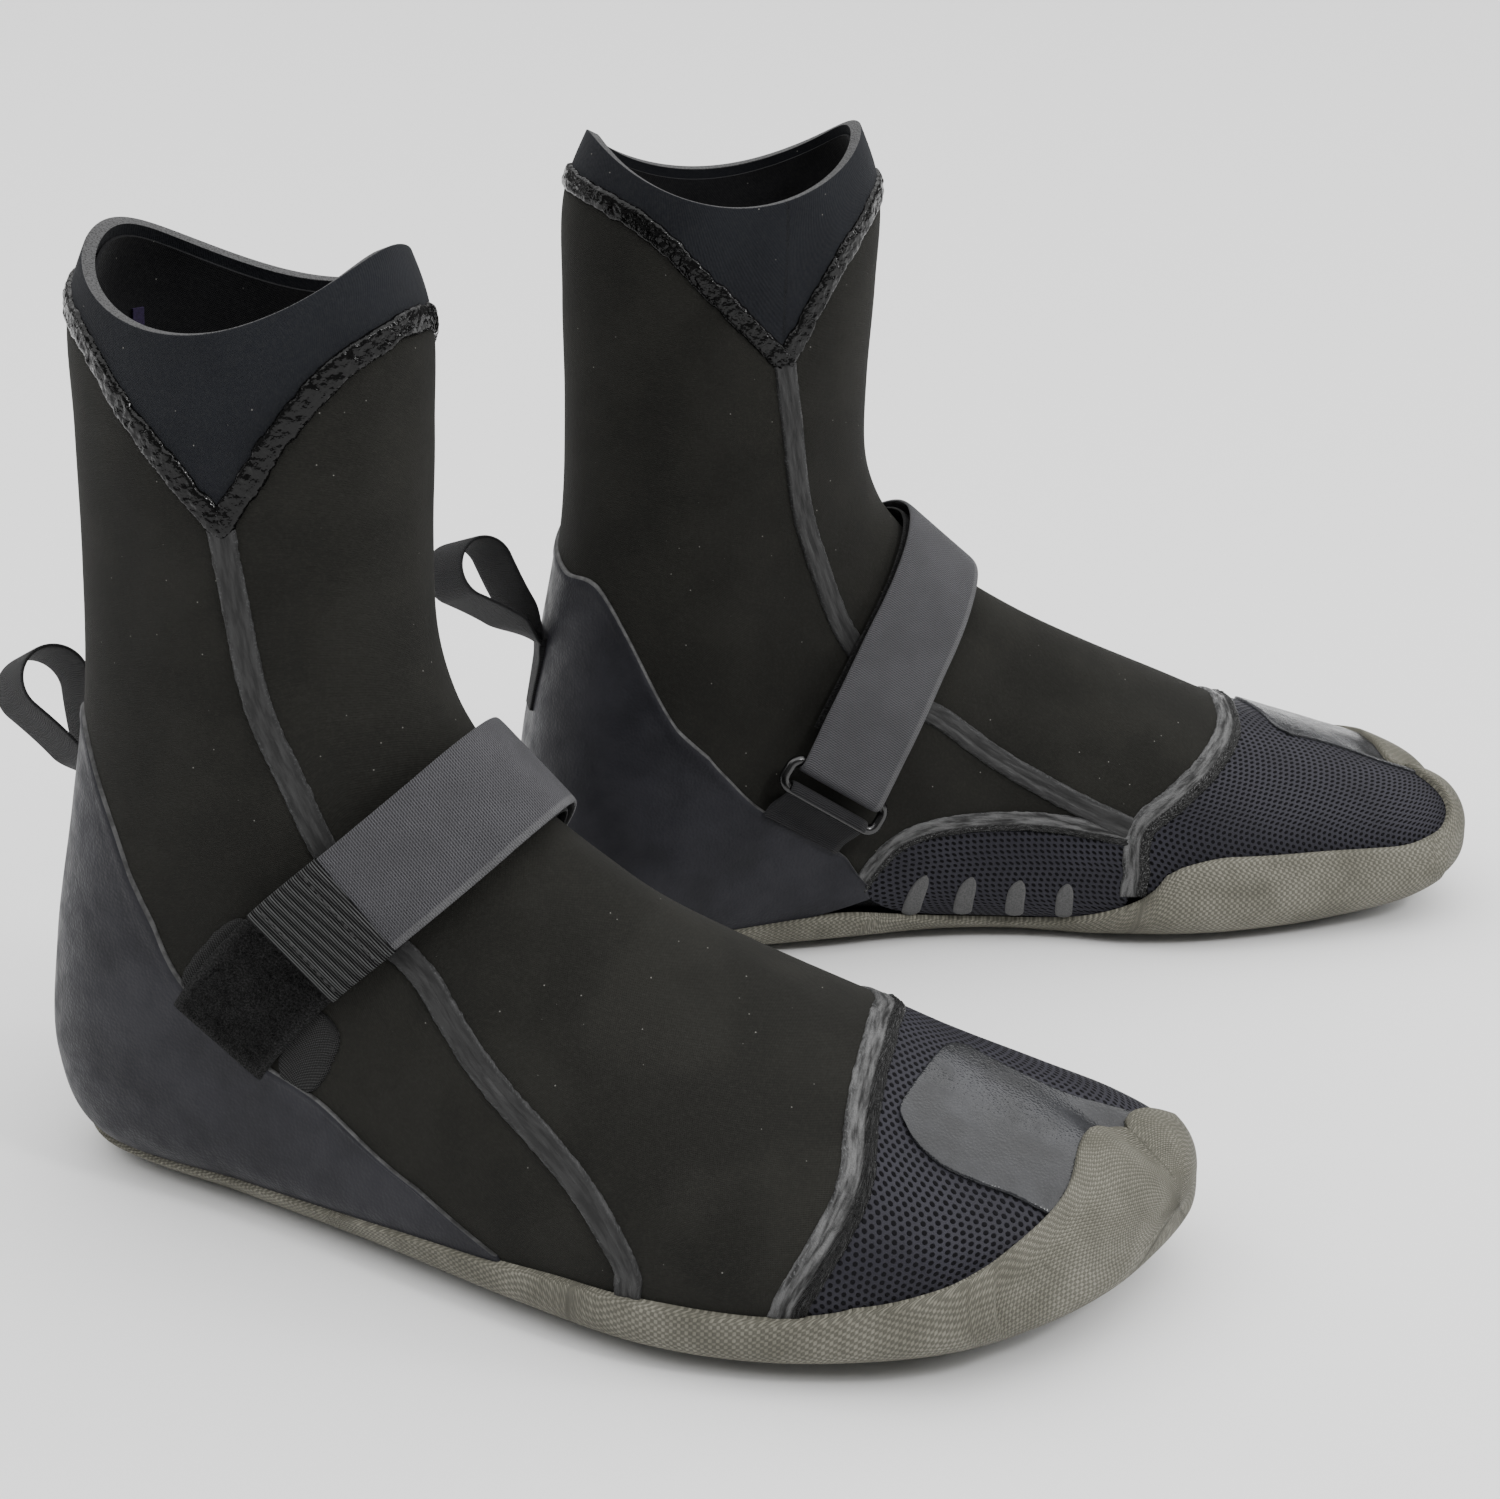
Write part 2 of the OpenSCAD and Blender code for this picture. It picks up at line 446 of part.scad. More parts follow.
// ---- the two boots in the pair ----
module right_boot() translate([PAIR_SHIFT[0] - pair_lead / 2, PAIR_SHIFT[1] - pair_gap / 2, 0])
  rotate([0, 0, right_turn]) translate([-PIVOT_X, 0, 0]) children();
module left_boot() translate([PAIR_SHIFT[0] + pair_lead / 2, PAIR_SHIFT[1] + pair_gap / 2, 0])
  rotate([0, 0, left_turn]) mirror([0, 1, 0]) translate([-PIVOT_X, 0, 0]) children();

right_boot() outsole();  // right_outsole
right_boot() heel_counter();  // right_heel_counter
right_boot() front_panel();  // right_front_panel
right_boot() rear_panel();  // right_rear_panel
right_boot() collar();  // right_collar
right_boot() toe_box();  // right_toe_box
right_boot() arch_panel();  // right_arch_panel
right_boot() bottom_sock();  // right_bottom_sock
right_boot() toe_overlay();  // right_toe_overlay
right_boot() collar_seam();  // right_collar_seam
right_boot() outer_seam_tape();  // right_outer_seam_tape
right_boot() inner_seam_tape();  // right_inner_seam_tape
right_boot() toe_seam();  // right_toe_seam
right_boot() arch_seam();  // right_arch_seam
right_boot() arch_marks();  // right_arch_marks
right_boot() lining();  // right_lining
right_boot() insole();  // right_insole
right_boot() toe_divider();  // right_toe_divider
right_boot() liner_tape();  // right_liner_tape
right_boot() strap_base();  // right_strap_base
right_boot() strap_anchor_patch();  // right_strap_anchor_patch
right_boot() keeper_tab();  // right_keeper_tab
right_boot() strap_ring();  // right_strap_ring
right_boot() strap_run();  // right_strap_run
right_boot() strap_end();  // right_strap_end
right_boot() grip_tab();  // right_grip_tab
right_boot() hook_patch();  // right_hook_patch
right_boot() pull_loop(RIGHT_LEAN);  // right_pull_loop
right_boot() loop_tail();  // right_loop_tail

left_boot() outsole();  // left_outsole
left_boot() heel_counter();  // left_heel_counter
left_boot() front_panel();  // left_front_panel
left_boot() rear_panel();  // left_rear_panel
left_boot() collar();  // left_collar
left_boot() toe_box();  // left_toe_box
left_boot() arch_panel();  // left_arch_panel
left_boot() bottom_sock();  // left_bottom_sock
left_boot() toe_overlay();  // left_toe_overlay
left_boot() collar_seam();  // left_collar_seam
left_boot() outer_seam_tape();  // left_outer_seam_tape
left_boot() inner_seam_tape();  // left_inner_seam_tape
left_boot() toe_seam();  // left_toe_seam
left_boot() arch_seam();  // left_arch_seam
left_boot() arch_marks();  // left_arch_marks
left_boot() lining();  // left_lining
left_boot() insole();  // left_insole
left_boot() toe_divider();  // left_toe_divider
left_boot() liner_tape();  // left_liner_tape
left_boot() strap_base();  // left_strap_base
left_boot() strap_anchor_patch();  // left_strap_anchor_patch
left_boot() keeper_tab();  // left_keeper_tab
left_boot() strap_ring();  // left_strap_ring
left_boot() strap_run();  // left_strap_run
left_boot() strap_end();  // left_strap_end
left_boot() grip_tab();  // left_grip_tab
left_boot() hook_patch();  // left_hook_patch
left_boot() pull_loop(LEFT_LEAN);  // left_pull_loop
left_boot() loop_tail();  // left_loop_tail
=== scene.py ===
"""Looks of a pair of split-toe neoprene boots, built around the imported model.

A boot is worked out in its own frame in millimetres: x from the heel to the toes, y towards the
inner side of the foot, z up. Every panel, tape and strap is a patch of one lofted skin, given by
seam lines in [s, a]: s runs from the collar (0) over the ankle (4) and heel (8) to the toes (18),
a is 0 on the shin and instep ridge, 90 on the outer side, 180 on the heel, -90 on the inner side.
"""

import json
import math

import bmesh
import bpy
import numpy as np
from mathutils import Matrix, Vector


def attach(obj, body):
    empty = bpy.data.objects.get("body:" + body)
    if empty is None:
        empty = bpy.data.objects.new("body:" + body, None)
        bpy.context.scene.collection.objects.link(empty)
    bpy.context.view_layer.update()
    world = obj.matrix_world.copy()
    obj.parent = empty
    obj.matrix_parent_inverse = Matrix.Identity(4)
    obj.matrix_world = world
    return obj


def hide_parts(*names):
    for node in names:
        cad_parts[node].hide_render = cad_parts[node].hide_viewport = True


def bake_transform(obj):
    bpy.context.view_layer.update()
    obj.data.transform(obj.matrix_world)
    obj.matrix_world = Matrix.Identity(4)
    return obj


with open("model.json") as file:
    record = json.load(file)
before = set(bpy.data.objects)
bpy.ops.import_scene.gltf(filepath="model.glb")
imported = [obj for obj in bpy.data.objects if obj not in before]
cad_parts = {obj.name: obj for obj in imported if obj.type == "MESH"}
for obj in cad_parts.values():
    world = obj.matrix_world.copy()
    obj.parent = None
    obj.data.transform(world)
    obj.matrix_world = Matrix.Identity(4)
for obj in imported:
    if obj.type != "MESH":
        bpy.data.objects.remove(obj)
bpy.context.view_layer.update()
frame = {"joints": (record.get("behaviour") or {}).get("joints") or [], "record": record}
MM = 0.001

# ---- the last: one row per foot section, as in the design ----
# [front x, front z, back x, back z, outer half width, inner half width, ridge offset,
#  place of the widest point, front roundness, back roundness, forward slant of the inner side]
LAST = np.array([
    [99, 254, 24, 254, 28, 28, 0, 0.50, 2.0, 2.0, 0.00],
    [107, 230, 14, 230, 34, 34, 0, 0.50, 2.0, 2.0, 0.00],
    [106, 202, 13, 200, 35, 35, 0, 0.50, 2.0, 2.0, 0.00],
    [104, 174, 13, 167, 36, 36, 0, 0.50, 2.0, 2.1, 0.00],
    [104, 151, 11, 131, 37, 37, 0, 0.52, 2.0, 2.2, 0.00],
    [109, 135, 5, 97, 38, 38, 0, 0.55, 2.0, 2.3, 0.00],
    [117, 124, -2, 60, 41, 40, 1, 0.58, 1.9, 2.5, 0.00],
    [126, 115, -4, 26, 43, 41, 2, 0.60, 1.9, 2.8, 0.00],
    [136, 107, 11, 5, 44, 42, 3, 0.64, 1.9, 3.2, 0.00],
    [148, 99, 60, 3.5, 46, 40, 4, 0.68, 1.9, 3.6, 0.00],
    [162, 91, 110, 5, 52, 40, 5, 0.72, 1.8, 4.0, 0.04],
    [182, 81, 155, 4, 59, 46, 7, 0.72, 1.8, 4.2, 0.08],
    [204, 71, 190, 3.5, 64, 52, 9, 0.70, 1.8, 4.2, 0.11],
    [226, 61, 218, 3.5, 64, 50, 12, 0.66, 1.9, 4.0, 0.13],
    [247, 53, 243, 5, 60, 46, 15, 0.62, 2.1, 3.6, 0.15],
    [265, 47, 265, 8, 54, 40, 19, 0.58, 2.2, 3.2, 0.16],
    [280, 42, 281, 13, 42, 31, 21, 0.54, 2.2, 2.8, 0.18],
    [289, 36, 289, 18, 24, 18, 22, 0.50, 2.1, 2.4, 0.20],
    [293, 27, 293, 27, 0, 0, 23, 0.50, 2.0, 2.0, 0.20]])
LAST_TIP = len(LAST) - 1
LENGTH_SHARE = 296 / 297
CLEFT_Y = 26
CLEFT_HALF_WIDTH = 6
CLEFT_DEPTH = 8

# ---- meshes: sharp angle in degrees, and how far panels stop short of their seams ----
SHARP = 50
MARGIN = 0.004

# ---- distances of the layers from the skin in millimetres, outwards positive ----
NEOPRENE = 3
SUNK = -0.4
STRAP_THICK = 1.5
BASE_IN = 3.1
HOOK_IN = BASE_IN + STRAP_THICK + 0.35
RUN_IN = HOOK_IN + 0.75 + 0.3
RING_LIFT = RUN_IN + 0.6

# ---- strap, the ribs of its grip tab, and ring in millimetres; WIRE is the wire's radius ----
STRAP_WIDTH = 29
RIB_PITCH = 0.86
WIRE = 1.6
RING_LONG = STRAP_WIDTH + 5
RING_SHORT = 9
RING_CORNER = 3.2

# ---- seam lines in [s, a] ----
V_FRONT = [[2.5, -74], [1.65, -52], [1.15, -30], [0.95, 0], [1.15, 30], [1.65, 52], [2.5, 74]]
V_BACK = [[2.5, 74], [1.75, 102], [1.1, 130], [0.8, 180], [1.1, 230], [1.75, 258], [2.5, 286]]
OUTER_SEAM = [[2.5, 74], [4, 63.5], [5.5, 53], [7, 48.5], [8.3, 48.5], [9.2, 54], [10.1, 60],
              [10.9, 66.5], [11.5, 75], [11.9, 87], [12, 104]]
INNER_SEAM = [[2.5, -74], [4, -64], [5.5, -55], [7, -51], [8.5, -51], [9.8, -59], [11.3, -74]]
TOE_SEAM = [[11.4, -96], [11.3, -74], [11.6, -61], [12, -47], [12.45, -28], [12.7, -8],
            [12.95, 10], [13.25, 26], [13.6, 44], [13.65, 66], [13.4, 100]]
ARCH_SEAM = [[9.5, -112], [9.35, -96], [9.4, -84], [9.8, -78], [10.5, -74.5], [11.3, -76]]
REAR_HEM = [[12, 104], [10.6, 114], [9.4, 130], [8.3, 148], [7.8, 180], [8.3, 212], [9.2, 236],
            [9.35, 262], [9.7, 282], [10.5, 285.5], [11.3, 286]]
FRONT_HEM = [[11.3, -74], [11.65, -59], [12.1, -41], [12.5, -20], [12.85, 4], [13.25, 26],
             [13.6, 48], [13.65, 70], [13.3, 98], [12, 104]]
COUNTER_TOP = [[10.8, 97], [9.7, 87], [8.75, 81], [7.9, 79.5], [6.96, 84], [5.67, 96],
               [4.67, 118], [4.12, 142], [4.2, 168], [4.32, 195], [4.45, 221], [5.42, 250],
               [6.55, 269], [7.9, 278], [8.8, 273], [9.4, 264]]
COUNTER_HEM = [[10.9, 104], [10, 118], [9.2, 130], [8.6, 138], [8.1, 148], [7.8, 158],
               [7.6, 180], [7.8, 202], [8.1, 214], [8.5, 222], [8.9, 232], [9.2, 244], [9.5, 258]]
SOLE_FROM = 7.5
SOLE_CLOSE = 16.74
CLOSE_ANGLE = -14
SOLE_OUTER = [[7.5, 174], [7.8, 152], [8.2, 138], [8.8, 129], [9.6, 118], [10.3, 106],
              [11.2, 95], [12.2, 92], [13.4, 92], [14.4, 89], [15.2, 80], [15.7, 62],
              [16.1, 30], [16.5, CLOSE_ANGLE]]
SOLE_INNER = [[7.5, -174], [7.8, -152], [8.2, -138], [8.8, -126], [9.3, -112], [9.7, -118],
              [10.2, -134], [10.8, -136], [11.2, -118], [11.5, -90], [12, -80], [13.4, -79],
              [14.8, -82], [15.7, -76], [16.2, -50], [16.5, CLOSE_ANGLE]]
# the cap over the toes: how far it reaches back, where, and how wide
CAP_REACH = 1.0
CAP_ANGLE = -8
CAP_SPREAD = 30
CAP_EDGE = 0.012
SOLE_EDGE_DEPTH = 1.3
OVERLAY_INNER = [[13.3, -18], [14, -15], [14.7, -14], [15.3, -19], [16.1, -30]]
OVERLAY_OUTER = [[13.5, 23], [14.3, 31], [14.8, 34], [15.4, 38], [16.3, 52]]
STRAP_LINE = [[7.9, 84], [7.6, 72], [7.35, 60], [7.2, 48], [7, 30], [6.85, 12], [6.85, -6],
              [7, -22], [7.4, -40], [7.85, -56], [8.2, -69]]
ANCHOR_LINE = [[8.05, 84], [7.75, 72], [7.5, 62]]
KEEPER_LINE = [[8.3, -74], [8.35, -78], [8.4, -82]]
RING_SEAT = [8.23, -70.4]
LOOP_ROOT = [5.05, 180]

# ---- places along the strap line, from 0 at the anchor to 1 at the ring ----
CREST = 0.55
CREST_HALF = 0.035
GRIP_FROM = 0.19
GRIP_TO = 0.30
HOOK_TO = 0.44

# ---- pull loop in millimetres; its lean and roll in degrees ----
LOOP_WIDTH = 21
LOOP_THICK = 1.1
LOOP_REACH = 30
LOOP_ROUND = 9
LOOP_BOW = 0.96
LEAN = {"right": 60, "left": 50}
ROLL = {"right": 65, "left": 35}


# ---- shares and profiles ----
def smooth(t):
    t = np.clip(t, 0, 1)
    return t * t * (3 - 2 * t)


def mix(p, q, t):
    return p * (1 - t) + q * t


def along(rows, t):
    """Smooth curve through a list of rows at the places t, counted in rows."""
    rows = np.asarray(rows, float)
    last = len(rows) - 1
    t = np.asarray(t, float)
    i = np.clip(np.floor(t), 0, last - 1).astype(int)
    padded = np.vstack([2 * rows[0] - rows[1], rows, 2 * rows[last] - rows[last - 1]])
    p0, p1, p2, p3 = (padded[i + k] for k in range(4))
    u = (t - i)[..., None]
    return 0.5 * (2 * p1 + (p2 - p0) * u + (2 * p0 - 5 * p1 + 4 * p2 - p3) * u * u
                  + (3 * p1 - p0 - 3 * p2 + p3) * u ** 3)


def line(rows, t):
    """The same curve, at places from 0 to 1."""
    return along(rows, np.asarray(t, float) * (len(rows) - 1))


def pair(both):
    """The s and the a of an array of [s, a]."""
    return both[..., 0], both[..., 1]


def ruled(first, second, u, v):
    """s and a at the share v of the way between two lines, at the place u along them."""
    return pair(mix(line(first, u), line(second, u), v[..., None]))


def rounded(w, power, least=0):
    """Height of a rounded profile: 1 in the middle, the root of least where w is -1 or 1."""
    return np.sqrt(np.clip(1 - np.abs(w) ** power, least, 1))


def near_ends(length, reach):
    """1 at both ends of a run, falling to 0 at that reach from them."""
    return np.clip(1 - np.minimum(length, length.max() - length) / reach, 0, 1)


def spread(rows, cols, first=-1, last=1):
    """Grid of the places along a piece, and across it from -1 to 1."""
    return np.meshgrid(np.linspace(first, last, rows), np.linspace(-1, 1, cols), indexing="ij")


def soft_width(count):
    """Places across a band from -1 to 1, closer together at its edges."""
    return np.sin(np.linspace(-math.pi / 2, math.pi / 2, count))[None, :]


def run_length(points):
    """Length along a row of points up to each of them."""
    return np.concatenate([[0], np.cumsum(np.linalg.norm(np.diff(points, axis=0), axis=-1))])


# ---- the skin ----
def skin(s, a):
    """Points of the skin in the boot's own frame."""
    row = along(LAST, np.clip(s, 0, LAST_TIP))
    fx, fz, bx, bz, outer, inner, ridge, widest, front, back, slant = np.moveaxis(row, -1, 0)
    c, d = np.cos(np.radians(a)), np.sin(np.radians(a))
    power = 2 / np.where(c > 0, front, back)
    round_x, round_y = np.abs(c) ** power, np.abs(d) ** power
    g = np.where(c > 0, widest * (1 - round_x), widest + (1 - widest) * round_x)
    y = np.where(d > 0, -outer, inner) * round_y
    # the groove between the toes: it starts at s 14, lies on top, and fades before the tip
    groove = np.exp(-((y + ridge - CLEFT_Y) / CLEFT_HALF_WIDTH) ** 2) * smooth((s - 14) / 3.5)
    groove = groove * np.clip((c + 0.3) / 1.3, 0, 1) * (1 - 0.7 * smooth((s - 15.8) / 1.8))
    groove = groove * (1 - smooth((s - 17.1) / 0.8))
    x = (mix(fx, bx, g) + slant * y) * LENGTH_SHARE
    return np.stack([x, y + ridge, mix(fz, bz, g) - CLEFT_DEPTH * groove], -1)


def unit(v):
    return v / (np.linalg.norm(v, axis=-1, keepdims=True) + 1e-12)


def outward(s, a):
    """Direction away from the skin, which turns forward near the tip of the toes."""
    s = np.clip(s, 0.02, LAST_TIP - 0.03)
    step = 0.02
    normal = unit(np.cross(skin(s, a + 1) - skin(s, a - 1), skin(s + step, a) - skin(s - step, a)))
    forward = np.array([0.99, 0.1, -0.1])
    return unit(mix(normal, forward, smooth((s - 17.1) / 0.8)[..., None]))


def off_skin(s, a, lift):
    """Points at the height lift above the skin."""
    return skin(s, a) + np.asarray(lift)[..., None] * outward(s, a)


def heading(route, t, step):
    """Direction in which a route runs over the skin; route gives [s, a] at the places t."""
    return unit(skin(*pair(route(t + step))) - skin(*pair(route(t - step))))


def square(side, up):
    """The way across, turned until it is square to the way up."""
    return unit(side - np.sum(side * up, -1, keepdims=True) * up)


def on_surface(s, a, offset):
    """[s, a] of the points that lie offset (a 3-D vector along the skin) away from [s, a]."""
    ds, da = 0.02, 0.5
    along_s = (skin(s + ds, a) - skin(s - ds, a)) / (2 * ds)
    along_a = (skin(s, a + da) - skin(s, a - da)) / (2 * da)
    ss = np.sum(along_s * along_s, -1)
    aa = np.sum(along_a * along_a, -1)
    sa = np.sum(along_s * along_a, -1)
    os, oa = np.sum(along_s * offset, -1), np.sum(along_a * offset, -1)
    det = ss * aa - sa * sa
    return s + (os * aa - oa * sa) / det, a + (oa * ss - os * sa) / det


# ---- even, repeatable noise on arrays ----
def hashed(i, j, k):
    n = (i * 73856093 ^ j * 19349663 ^ k * 83492791) & 0xFFFFFF
    n = (n * 1103515245 + 12345) & 0x7FFFFFFF
    n = ((n >> 13) ^ n) * 1274126177 & 0x7FFFFFFF
    return n / 0x7FFFFFFF * 2 - 1


def noise(p, q, seed=0):
    """Smooth value noise from -1 to 1 with a cell of one unit."""
    p, q = np.broadcast_arrays(np.asarray(p, float), np.asarray(q, float))
    i, j = np.floor(p).astype(np.int64), np.floor(q).astype(np.int64)
    u, v = smooth(p - i), smooth(q - j)
    k = np.full(i.shape, seed, np.int64)
    low = mix(hashed(i, j, k), hashed(i + 1, j, k), u)
    high = mix(hashed(i, j + 1, k), hashed(i + 1, j + 1, k), u)
    return mix(low, high, v)


def layered(p, q, seed=0, layers=3):
    total, weight = 0.0, 0.0
    for n in range(layers):
        total = total + noise(p * 2 ** n, q * 2 ** n, seed + n) / 2 ** n
        weight += 1 / 2 ** n
    return total / weight


# ---- where the two boots stand, read from the frame ----
PIVOT_X = 130
REST_POINT = (215, 8)
MOUNTS = {m["name"]: m for m in frame["record"]["mounts"]}
JOINTS = {j["name"]: j for j in frame["joints"]}


class Boot:
    """One boot of the pair: where it stands and how its pieces are placed."""

    def __init__(self, side):
        self.side = side
        self.flip = 1 if side == "right" else -1
        self.y_axis = np.array(JOINTS[side + "_loop_flex"]["axis"][:2])
        self.x_axis = np.array([self.y_axis[1], -self.y_axis[0]])
        rest = np.array(MOUNTS[side + "_sole_rest"]["pos_m"][:2]) / MM
        local = self.turned(np.array([REST_POINT[0] - PIVOT_X, REST_POINT[1] * self.flip]))
        self.centre = rest - local

    def turned(self, p):
        return p[..., 0:1] * self.x_axis + p[..., 1:2] * self.y_axis

    def world(self, points):
        points = np.asarray(points, float)
        flat = np.stack([points[..., 0] - PIVOT_X, points[..., 1] * self.flip], -1)
        return np.concatenate([self.centre + self.turned(flat), points[..., 2:3]], -1) * MM

    def body(self, part):
        return f"{self.side}_{part}"


# ---- meshes ----
def grid_faces(rows, cols, start=0, wrap=False):
    """Faces of a grid of points, the first of which has the index start."""
    step = cols if wrap else cols + 1
    i, j = np.meshgrid(np.arange(rows), np.arange(cols), indexing="ij")
    right = (j + 1) % cols if wrap else j + 1
    quad = [i * step + j, (i + 1) * step + j, (i + 1) * step + right, i * step + right]
    return np.stack(quad, -1).reshape(-1, 4) + start


def tube_faces(rows, sides, start=0):
    """Faces round a tube whose points go round it ring by ring."""
    return np.roll(grid_faces(rows, sides, start, True)[:, ::-1], 1, 1)


def cloth_map(points):
    """Length across and along a grid of points in millimetres, for weaves."""
    across = np.linalg.norm(np.diff(points, axis=1), axis=-1)
    down = np.linalg.norm(np.diff(points, axis=0), axis=-1)
    zero_col, zero_row = np.zeros((points.shape[0], 1)), np.zeros((1, points.shape[1]))
    u = np.concatenate([zero_col, np.cumsum(across, 1)], 1)
    u = u - u[:, points.shape[1] // 2:points.shape[1] // 2 + 1]
    v = np.concatenate([zero_row, np.cumsum(down, 0)], 0)
    return np.stack([u, v], -1)


def linked(name, data):
    made = bpy.data.objects.new(name, data)
    bpy.context.scene.collection.objects.link(made)
    return made


def without_loose(mesh):
    """Removes the points that no face uses."""
    draft = bmesh.new()
    draft.from_mesh(mesh)
    loose = [point for point in draft.verts if not point.link_faces]
    bmesh.ops.delete(draft, geom=loose, context="VERTS")
    draft.to_mesh(mesh)
    draft.free()


def new_mesh(boot, name, points, faces, uv, materials, face_material=None, welded=None):
    """One object from points in the boot's frame; the mirrored boot gets its faces turned.
    welded gives, for each point, the point that the faces use in its place."""
    name = boot.body(name)
    if boot.flip < 0:
        faces = faces[:, ::-1]
    corners = faces if welded is None else welded[faces]
    mesh = bpy.data.meshes.new(name)
    mesh.from_pydata(boot.world(points).tolist(), [], [tuple(f) for f in corners.tolist()])
    layer = mesh.uv_layers.new(name="Weave")
    layer.data.foreach_set("uv", uv[faces].reshape(-1).astype(np.float32))
    for material in materials:
        mesh.materials.append(material)
    if face_material is not None:
        mesh.polygons.foreach_set("material_index", face_material.astype(np.int32))
    mesh.polygons.foreach_set("use_smooth", np.ones(len(faces), bool))
    if welded is not None:
        without_loose(mesh)
    mesh.update()
    mesh.set_sharp_from_angle(angle=math.radians(SHARP))
    return linked(name, mesh)


def solid(boot, name, outer, inner, materials, wrap=False, edge_rows=0, tip=False):
    """Closed piece between an outer and an inner grid of points. wrap joins its last column to
    the first. The first edge_rows rows and the wall beside them take the second material. tip
    leaves out the last wall and welds the rows whose two ends meet."""
    rows, cols = outer.shape[0] - 1, outer.shape[1] - 1
    uv = cloth_map(outer)
    if wrap:
        outer, inner, uv = outer[:, :-1], inner[:, :-1], uv[:, :-1]
    step = outer.shape[1]
    count = outer.shape[0] * step
    top = grid_faces(rows, cols, 0, wrap)
    below = grid_faces(rows, cols, count, wrap)[:, ::-1]
    first = np.arange(cols)
    follow = (first + 1) % step if wrap else first + 1
    walls = [np.stack([first, follow, follow + count, first + count], -1)]
    if not tip:
        end, end_below = rows * step, rows * step + count
        walls.append(np.stack([first + end_below, follow + end_below, follow + end,
                               first + end], -1))
    if not wrap:
        side = np.arange(rows) * step
        far = side + step - 1
        walls.append(np.stack([side + count, side + step + count, side + step, side], -1))
        walls.append(np.stack([far, far + step, far + step + count, far + count], -1))
    faces = np.concatenate([top, below] + walls)
    chosen = np.zeros(len(faces), int)
    if edge_rows:
        for start, size in ((0, edge_rows), (len(top), edge_rows), (2 * len(top), 1)):
            chosen[start:start + size * cols] = 1
    points = np.concatenate([outer.reshape(-1, 3), inner.reshape(-1, 3)])
    both = np.tile(uv.reshape(-1, 2), (2, 1))
    if not tip:
        return new_mesh(boot, name, points, faces, both, materials, chosen)
    shut = np.linalg.norm(outer[:, 0] - outer[:, -1], axis=-1) < 1e-4
    welded = np.arange(len(points))
    ends = np.flatnonzero(shut) * step
    for start in (0, count):
        welded[start + ends + step - 1] = start + ends
    keep = np.ones(len(faces), bool)
    keep[2 * len(top) + cols:] = ~np.tile(shut[:-1] & shut[1:], 2)
    return new_mesh(boot, name, points, faces[keep], both, materials, chosen[keep], welded)


def on_skin(boot, name, s, a, lift, bottom, material):
    """Closed piece that lies on the skin, from bottom up to lift."""
    return solid(boot, name, off_skin(s, a, lift), off_skin(s, a, bottom + 0 * s), [MAT[material]])


def edged(count, share=0.012):
    """Places from 0 to 1, closer together at both ends, where an edge is rounded."""
    ends = share * np.array([0, 0.08, 0.3, 0.62, 1])
    return np.concatenate([ends, np.linspace(share, 1 - share, count)[1:-1], 1 - ends[::-1]])


def rim_fall(u, v, share_u, share_v, depth, open_end=True):
    """How far a rounded edge falls below the face at the places u, v."""
    def quarter(t, share):
        return 1 - rounded(np.clip(1 - t / share, 0, 1), 2) if share else 0 * t
    from_end = np.minimum(u, 1 - u) if open_end else u
    return depth * np.maximum(quarter(from_end, share_u), quarter(np.minimum(v, 1 - v), share_v))


def patch(boot, name, path, rows, cols, low, high, materials, edge=(0.012, 0.012, 1.2),
          wrap=False, edge_rows=0, tip=False, shape=None):
    """Closed patch of the skin. path gives s and a at u, v; edge is the share of the length and
    of the width that the rounded border takes, and its depth in millimetres."""
    share_u, share_v, depth = edge
    u = edged(rows, share_u) if share_u else np.linspace(0, 1, rows + 1)
    v = edged(cols, share_v) if share_v else np.linspace(0, 1, cols + 1)
    u, v = np.meshgrid(u, v, indexing="ij")
    s, a = path(u, v)
    fall = rim_fall(u, v, share_u, share_v, depth, not tip)
    lift = (high(u, v, s, a) if callable(high) else high) - fall
    outer, inner = off_skin(s, a, lift + 0 * s), off_skin(s, a, low + 0 * s)
    if shape:
        outer, inner = shape(outer), shape(inner)
    return solid(boot, name, outer, inner, [MAT[m] for m in materials], wrap, edge_rows, tip)


def between(top, hem, left, right):
    """Path of a patch between four seam lines."""
    def path(u, v):
        p, q = mix(MARGIN, 1 - MARGIN, u), mix(MARGIN, 1 - MARGIN, v)
        up, down, near, far = line(top, q), line(hem, q), line(left, p), line(right, p)
        p, q = p[..., None], q[..., None]
        corners = ((1 - p) * (1 - q) * np.array(top[0]) + (1 - p) * q * np.array(top[-1])
                   + p * (1 - q) * np.array(hem[0]) + p * q * np.array(hem[-1]))
        return pair((1 - p) * up + p * down + (1 - q) * near + q * far - corners)
    return path


def skin_run(route, t, step):
    """s, a, the way across and the length so far of a route over the skin."""
    s, a = pair(route(t))
    side = unit(np.cross(outward(s, a), heading(route, t, step)))
    return s, a, side, run_length(skin(s, a)[:, 0])[:, None] + 0 * t


